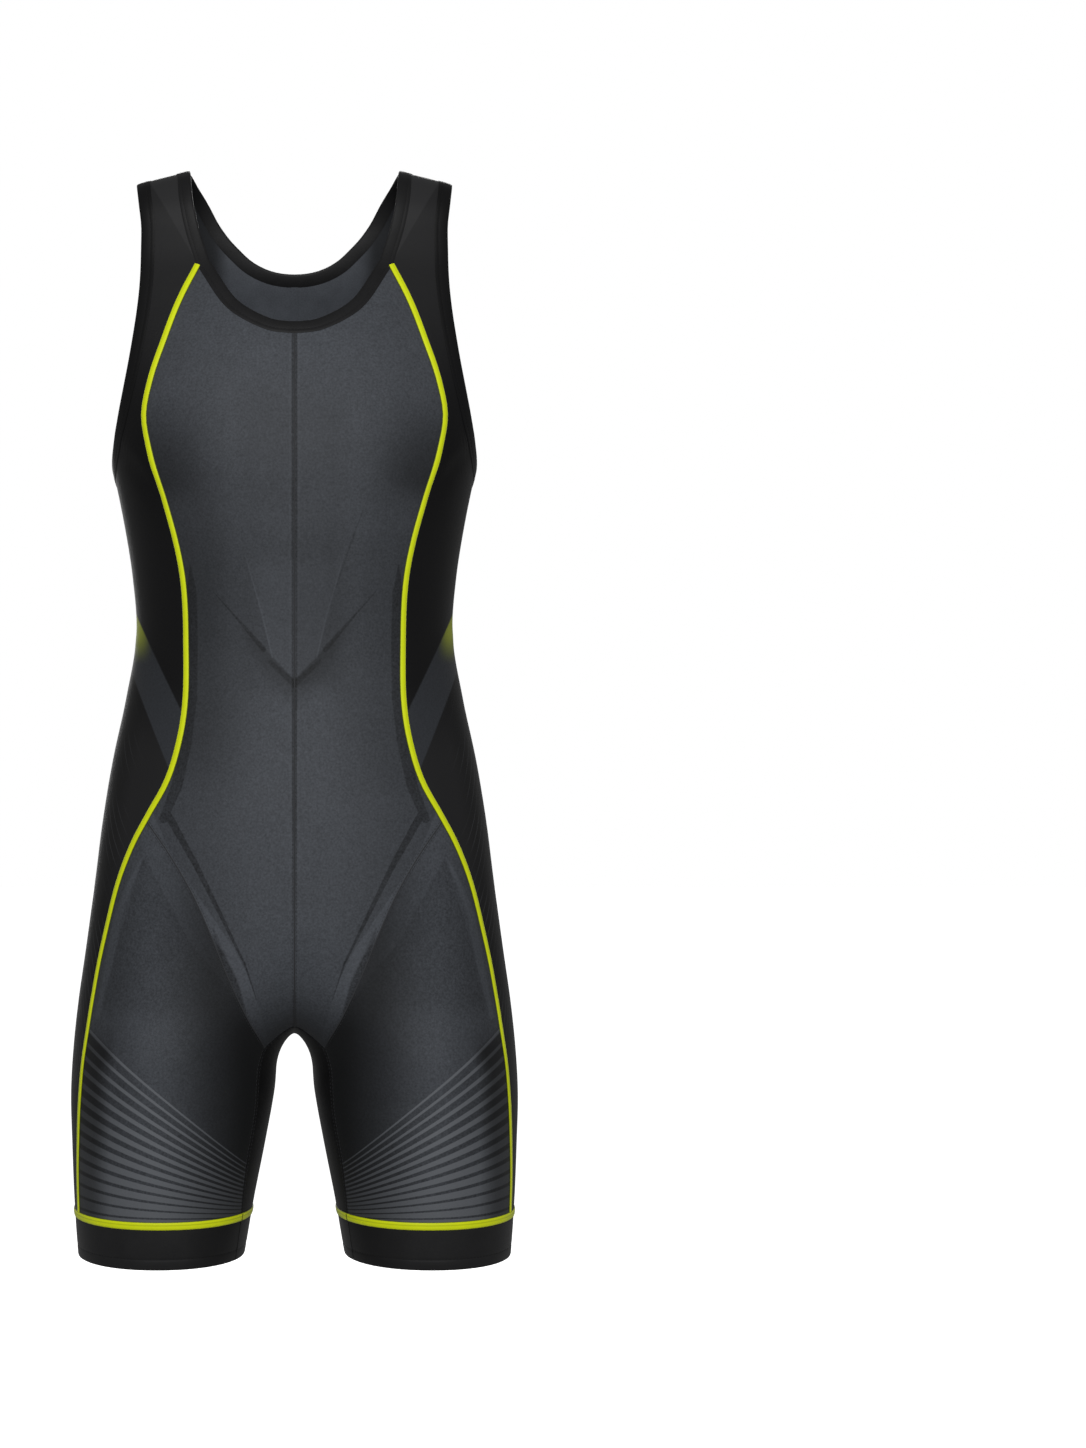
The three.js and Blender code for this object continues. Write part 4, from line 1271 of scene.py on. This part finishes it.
def build_nets(s):
    """The net of each piece of cloth, from its four seams: two sides, top and bottom."""
    nets = {}
    nets["front_panel"] = (
        s["centre_front"],
        s["piping_body"],
        s["neck_front"],
        joined(s["gusset_arch"], s["thigh"]),
    )
    nets["front_leg"] = (s["gusset_leg"], s["piping_leg"], s["thigh"], s["cuff_front"])
    nets["side_panel"] = (
        joined(s["neck_side"], s["piping_body"], s["piping_leg"]),
        joined(s["armhole_front"], s["back_piping"]),
        s["shoulder"],
        s["cuff_side"],
    )
    nets["back_panel"] = (
        joined(s["neck_back"], s["centre_back"], s["gusset_back"]),
        joined(s["armhole_back"], s["back_piping"]),
        s["shoulder"],
        s["cuff_back"],
    )
    front = joined(s["gusset_leg"][::-1], s["gusset_arch"][::-1])
    back = s["gusset_back"][::-1]
    nets["gusset"] = (
        joined(front, mirrored(front)[::-1]),
        joined(back, mirrored(back)[::-1]),
        s["cuff_inner"],
        mirrored(s["cuff_inner"]),
    )
    return {name: drawn_in(fine_net(*sides), SEAM_GAP / 2) for name, sides in nets.items()}


def dress(obj, nodes, material):
    """Gives a piece its material and body, and hides the frame nodes that it stands for."""
    obj.data.materials.append(material)
    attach(obj, "root")
    if nodes:
        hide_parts(*nodes)
    return obj


def line_inside(obj, net, material):
    """Gives the inner faces of a cloth shell the look of the knit's plain wrong side."""
    cells = (net.shape[0] - 1) * (net.shape[1] - 1)
    obj.data.materials.append(material)
    for polygon in obj.data.polygons[cells : 2 * cells]:
        polygon.material_index = 1


def build_panels(nets, materials):
    looks = {
        "front_panel": ("front", "body_cloth"),
        "front_leg": ("thigh", "thigh_cloth"),
        "side_panel": ("side", "side_cloth"),
        "back_panel": ("back", "body_cloth"),
    }
    pieces = {}
    for name, (look, slot_name) in looks.items():
        for word, side in SIDES:
            nodes = [f"{node}_{word}" for node in (name,) + LOWER_PARTS.get(name, ())]
            obj = cloth_shell(f"cloth_{name}_{word}", nets[name], CLOTH, side)
            pieces[f"{name}_{word}"] = dress(obj, nodes, materials[look])
            line_inside(obj, nets[name], materials["lining"])
    obj = cloth_shell("cloth_gusset", nets["gusset"], CLOTH, 1)
    pieces["gusset"] = dress(obj, ["gusset"], materials["gusset"])
    return pieces


def closed_pair(half_run):
    """A centred half run closed into a ring by its mirror image."""
    return np.vstack([half_run, mirrored(half_run[1:-1])[::-1]])


def build_bindings(s, materials):
    neck = closed_pair(joined(s["neck_front"], s["neck_side"][::-1], s["neck_back"]))[::2]
    obj = strip_solid("bound_neck", neck, BINDING_PROFILE, ring=True, scale=NECK_BINDING_WIDTH)
    pieces = {"neck_binding": dress(obj, ["neck_binding"], materials["binding"])}
    arm = joined(s["armhole_front"], s["armhole_back"][::-1])[:-1][::2]
    share = eased((arm[:, 1] + ARM_BINDING_BLEND) / (2 * ARM_BINDING_BLEND))
    width = ARM_BINDING_FRONT + (ARM_BINDING_BACK - ARM_BINDING_FRONT) * share
    for word, side in SIDES:
        node = f"armhole_binding_{word}"
        obj = strip_solid(f"bound_armhole_{word}", arm, BINDING_PROFILE, ring=True, side=side, scale=width)
        pieces[node] = dress(obj, [node], materials["arm_binding"])
    threads = [stitches(neck, [BINDING_STITCH], BINDING_TOP, True)]
    threads += [stitches(arm, [BINDING_STITCH], BINDING_TOP, True, side) for _, side in SIDES]
    dress(thread_object("thread_bindings", *threads), None, materials["thread"])
    return pieces


def cut_run(run, start, end):
    """A run shortened by a length at each end, or carried on where the length is negative."""
    whole = lengths_along(run)[-1]
    cut = places_along(run, np.linspace(max(start, 0), whole - max(end, 0), len(run)))
    if end < 0:
        ahead = unit(cut[-1] - cut[-2])
        cut = np.vstack([cut, settle((cut[-1] - ahead * end)[None], 3)])
    if start < 0:
        back = unit(cut[0] - cut[1])
        cut = np.vstack([settle((cut[0] - back * start)[None], 3), cut])
    return cut


def build_pipings(s, materials):
    cuff_clear = CUFF_BAND_WIDTH / 2 + CUFF_BAND_RISE + TRIM_CLEARANCE
    runs = {
        "front_piping": (cut_run(joined(s["piping_body"], s["piping_leg"]), 0.5, cuff_clear), TRIM_BASE),
        "back_arm_piping": (cut_run(s["armhole_back"], 0.3, -2.6), TRIM_BASE + 0.5),
        "back_side_piping": (cut_run(s["back_piping"], 2.2, cuff_clear), TRIM_BASE),
    }
    pieces = {}
    for name, (run, base) in runs.items():
        profile = domed(PIPING_WIDTH, PIPING_THICK, base)
        for word, side in SIDES:
            obj = strip_solid(f"trim_{name}_{word}", run[::2], profile, side=side, sharp=60)
            pieces[f"{name}_{word}"] = dress(obj, [f"{name}_{word}"], materials["lime"])
    return pieces


def level_ring(run, height):
    """A run moved to one height, on the form."""
    points = run.copy()
    points[:, 2] = height
    return settle(points, 12, True)


def ring_of_heights(name, run, profile, side):
    """A ring round a leg. Each profile point is (height, outward)."""
    columns = []
    for height, out in profile:
        ring = level_ring(run, height)
        normal = slope_at(ring)
        normal[:, 2] = 0
        columns.append(ring + unit(normal) * out)
    return profile_solid(name, run, columns, [height for height, _ in profile], True, side, level=True)


def cuff_profile():
    """The doubled hem: outer face with a stitched dip, rolled edge and inner face."""
    top = CUFF_SEAM_HEIGHT - SEAM_GAP / 2
    line = HEM_HEIGHT + HEM_STITCH_RISE
    w = CUFF_CLOTH
    return [
        (top, -0.16), (top - 2, 0.0), (top - 12, 0.12), (line + 2.4, 0.1), (line + 0.7, -0.05),
        (line, -0.28), (line - 0.7, -0.05), (line - 2.4, 0.1), (HEM_HEIGHT + 1.4, 0.05),
        (HEM_HEIGHT + 0.35, -0.25), (HEM_HEIGHT, -0.9), (HEM_HEIGHT + 0.35, -w + 0.2),
        (HEM_HEIGHT + 1.6, -w), (top - 12, -w), (top, -w + 0.3),
    ]


def cuff_band_profile():
    """The lime band: soft edges and a shallow sewn line along its middle."""
    half = CUFF_BAND_WIDTH / 2
    middle = CUFF_SEAM_HEIGHT + CUFF_BAND_RISE
    upper = [(half, 0.0), (half - 0.25, 0.45), (half * 0.55, 0.85), (0.5, 0.92)]
    lower = [(-height, rise) for height, rise in reversed(upper)]
    return [(middle + height, TRIM_BASE + rise) for height, rise in upper + [(0.0, 0.80)] + lower]


def build_cuffs(s, materials):
    run = joined(s["cuff_front"], s["cuff_side"], s["cuff_back"][::-1], s["cuff_inner"][::-1])[:-1]
    run = run[::2]
    pieces = {}
    threads = []
    for word, side in SIDES:
        obj = ring_of_heights(f"hem_cuff_{word}", run, cuff_profile(), side)
        pieces[f"cuff_{word}"] = dress(obj, [f"cuff_{word}"], materials["cuff"])
        obj = ring_of_heights(f"trim_cuff_band_{word}", run, cuff_band_profile(), side)
        pieces[f"cuff_band_{word}"] = dress(obj, [f"cuff_band_{word}"], materials["lime_band"])
        hem_line = level_ring(run, HEM_HEIGHT + HEM_STITCH_RISE)
        threads.append(stitches(hem_line, [0.0], -0.12, True, side))
        upper_line = level_ring(run, HEM_HEIGHT + HEM_STITCH_RISE + UPPER_STITCH_RISE)
        threads.append(stitches(upper_line, [0.0], 0.16, True, side))
    dress(thread_object("thread_cuffs", *threads), None, materials["thread"])
    build_cuff_seams(s, materials)
    return pieces


def build_cuff_seams(s, materials):
    """Upright seam lines where each cuff and its band are joined, in front and behind."""
    below = CUFF_SEAM_HEIGHT + CUFF_BAND_RISE - CUFF_BAND_WIDTH / 2
    spans = {
        "cuff": (below - 0.2, HEM_HEIGHT + 0.6, 0.12),
        "band": (below + CUFF_BAND_WIDTH - 0.6, below + 0.6, 0.98),
    }
    for place, end in (("front", 0), ("back", -1)):
        for word, side in SIDES:
            for part, (top, bottom, lift) in spans.items():
                drop = np.repeat(s["cuff_inner"][end][None], 9, axis=0)
                drop[:, 2] = np.linspace(top, bottom, 9)
                profile = [(reach, height + lift) for reach, height in CUFF_LINE_PROFILE]
                name = f"seamline_{part}_{place}_{word}"
                obj = strip_solid(name, settle(drop, 12, True), profile, side=side)
                dress(obj, None, materials["thread"])


def build_seam_tapes(s, materials):
    """Flat tape behind each plain seam, and the seam's own line and stitching."""
    threads = []
    gusset_front = joined(s["gusset_arch"], s["gusset_leg"])
    middle = (("middle", 1),)
    # Columns: seam, length left off at each end, sides, look of the tape, look of the line
    plain = {
        "centre_front": (s["centre_front"], (-1.5, 0.6), middle, "lining", "seam"),
        "centre_back": (s["centre_back"], (-1.5, 0.6), middle, "lining", "seam"),
        "thigh": (s["thigh"], (0.6, 3.2), SIDES, "lining", "seam"),
        "gusset_front": (gusset_front, (0.0, 4.4), SIDES, "gusset", "thread"),
        "gusset_back": (s["gusset_back"], (0.0, 4.4), SIDES, "gusset", "thread"),
        "shoulder": (s["shoulder"], (-1.5, -1.5), SIDES, "gusset", "seam"),
    }
    for name, (whole, ends, sides, tape_look, line_look) in plain.items():
        run = cut_run(whole, *ends)
        for word, side in sides:
            tape = strip_solid(f"tape_{name}_{word}", run, TAPE_PROFILE, side=side)
            dress(tape, None, materials[tape_look])
            line = strip_solid(f"seamline_{name}_{word}", run, SEAM_LINE_PROFILE, side=side)
            dress(line, None, materials[line_look])
            threads.append(stitches(run, SEAM_STITCHES, SEAM_STITCH_HEIGHT, False, side))
    for place, whole in (("front", joined(s["piping_body"], s["piping_leg"])), ("back", s["back_piping"])):
        run = cut_run(whole, 1, 5)[::2]
        for word, side in SIDES:
            tape = strip_solid(f"tape_{place}_piping_{word}", run, TAPE_PROFILE, side=side)
            dress(tape, None, materials["lining"])
    dress(thread_object("thread_seams", *threads), None, materials["seam"])


def aim(obj, target):
    """Turns a light towards a place."""
    direction = np.array(target) - np.array(obj.location)
    yaw = math.atan2(direction[0], direction[1])
    pitch = math.atan2(direction[2], math.hypot(direction[0], direction[1]))
    obj.rotation_euler = (math.pi / 2 + pitch, 0, -yaw)


def soft_light(name, place, target, width, height, power):
    data = bpy.data.lights.new(name, "AREA")
    data.shape = "RECTANGLE"
    data.size = width
    data.size_y = height
    data.energy = power
    obj = bpy.data.objects.new(name, data)
    obj.location = place
    bpy.context.scene.collection.objects.link(obj)
    aim(obj, target)


def build_camera():
    """The camera looks level at the garment, which stands left of the picture's middle."""
    camera_data = bpy.data.cameras.new("camera")
    camera = bpy.data.objects.new("camera", camera_data)
    bpy.context.scene.collection.objects.link(camera)
    camera.location = (0, -CAMERA_DISTANCE * MM, CAMERA_HEIGHT * MM)
    camera.rotation_euler = (math.pi / 2, 0, 0)
    camera_data.sensor_fit = "AUTO"
    camera_data.sensor_width = SENSOR
    seen_height = PHOTO_HEIGHT * SIZE_PER_PIXEL
    camera_data.lens = SENSOR * CAMERA_DISTANCE / seen_height
    camera_data.shift_x = (PHOTO_WIDTH / 2 - GARMENT_CENTRE_PIXEL) / PHOTO_HEIGHT
    bpy.context.scene.camera = camera


def build_lights():
    """Four soft lights, and a room that is white to the camera and dimmer to the cloth."""
    for name, (place, width, height, power) in LIGHTS.items():
        soft_light(name, place, (0, 0, CAMERA_HEIGHT * MM), width, height, power)
    world = bpy.data.worlds.new("studio")
    world.use_nodes = True
    tree = world.node_tree
    seen = tree.nodes.new("ShaderNodeLightPath")
    strength = tree.nodes.new("ShaderNodeMath")
    strength.operation = "MULTIPLY_ADD"
    strength.inputs[1].default_value = 1 - ROOM_LIGHT
    strength.inputs[2].default_value = ROOM_LIGHT
    tree.links.new(seen.outputs["Is Camera Ray"], strength.inputs[0])
    background = tree.nodes["Background"]
    background.inputs[0].default_value = (1, 1, 1, 1)
    tree.links.new(strength.outputs[0], background.inputs[1])
    bpy.context.scene.world = world
    bpy.context.scene.view_settings.view_transform = "Standard"


def build_floor():
    mesh = bpy.data.meshes.new("floor")
    turns = ((-1, -1), (1, -1), (1, 1), (-1, 1))
    corners = [(FLOOR_REACH * x, FLOOR_REACH * y, FLOOR_LEVEL) for x, y in turns]
    mesh.from_pydata(corners, [], [(0, 1, 2, 3)])
    floor = bpy.data.objects.new("floor", mesh)
    bpy.context.scene.collection.objects.link(floor)
    paint = bpy.data.materials.new("floor_paint")
    paint.use_nodes = True
    shader = paint.node_tree.nodes["Principled BSDF"]
    shader.inputs["Base Color"].default_value = tone(FLOOR_WHITE)
    shader.inputs["Roughness"].default_value = 0.9
    shader.inputs["Emission Color"].default_value = (1, 1, 1, 1)
    shader.inputs["Emission Strength"].default_value = 0.9
    mesh.materials.append(paint)
    floor.visible_diffuse = False
    floor.visible_glossy = False


def build_materials():
    return {
        "front": front_material(),
        "thigh": thigh_material(),
        "side": side_material(),
        "back": back_material(),
        # The lining carries painted shade down inside the body.
        "lining": plain_material(
            "lining_charcoal", CHARCOAL_DARK, CHARCOAL_LIGHT, 0.65, 0.02, shade=0.64, depth=0.8
        ),
        "gusset": plain_material("gusset_black", BLACK_CLOTH, STRAP_CLOTH, 0.5, 0.02, shade=0.1),
        "binding": plain_material("binding_black", BINDING_BLACK, STRAP_CLOTH, 0.5, 0.025, shade=0.2),
        "arm_binding": plain_material("arm_binding_black", BLACK_CLOTH, BINDING_BLACK, 0.5, 0.02, 0.3),
        # The cuffs carry painted shade towards the inside of the legs.
        "cuff": plain_material("cuff_black", CUFF_BLACK, STRAP_CLOTH, 0.5, 0.06, inner=0.8),
        "seam": plain_material("seam_charcoal", STRAP_CLOTH, SEAM_GREY, 0.6, 0.02, shade=0.4),
        "lime": piping_material(),
        "lime_band": band_material(),
        "thread": plain_material("black_thread", THREAD_BLACK, BINDING_BLACK, 0.5, 0.04),
    }


def main():
    build_camera()
    build_lights()
    build_floor()
    materials = build_materials()
    seams = build_seams()
    nets = build_nets(seams)
    pieces = build_panels(nets, materials)
    pieces.update(build_bindings(seams, materials))
    pieces.update(build_pipings(seams, materials))
    pieces.update(build_cuffs(seams, materials))
    build_seam_tapes(seams, materials)


main()
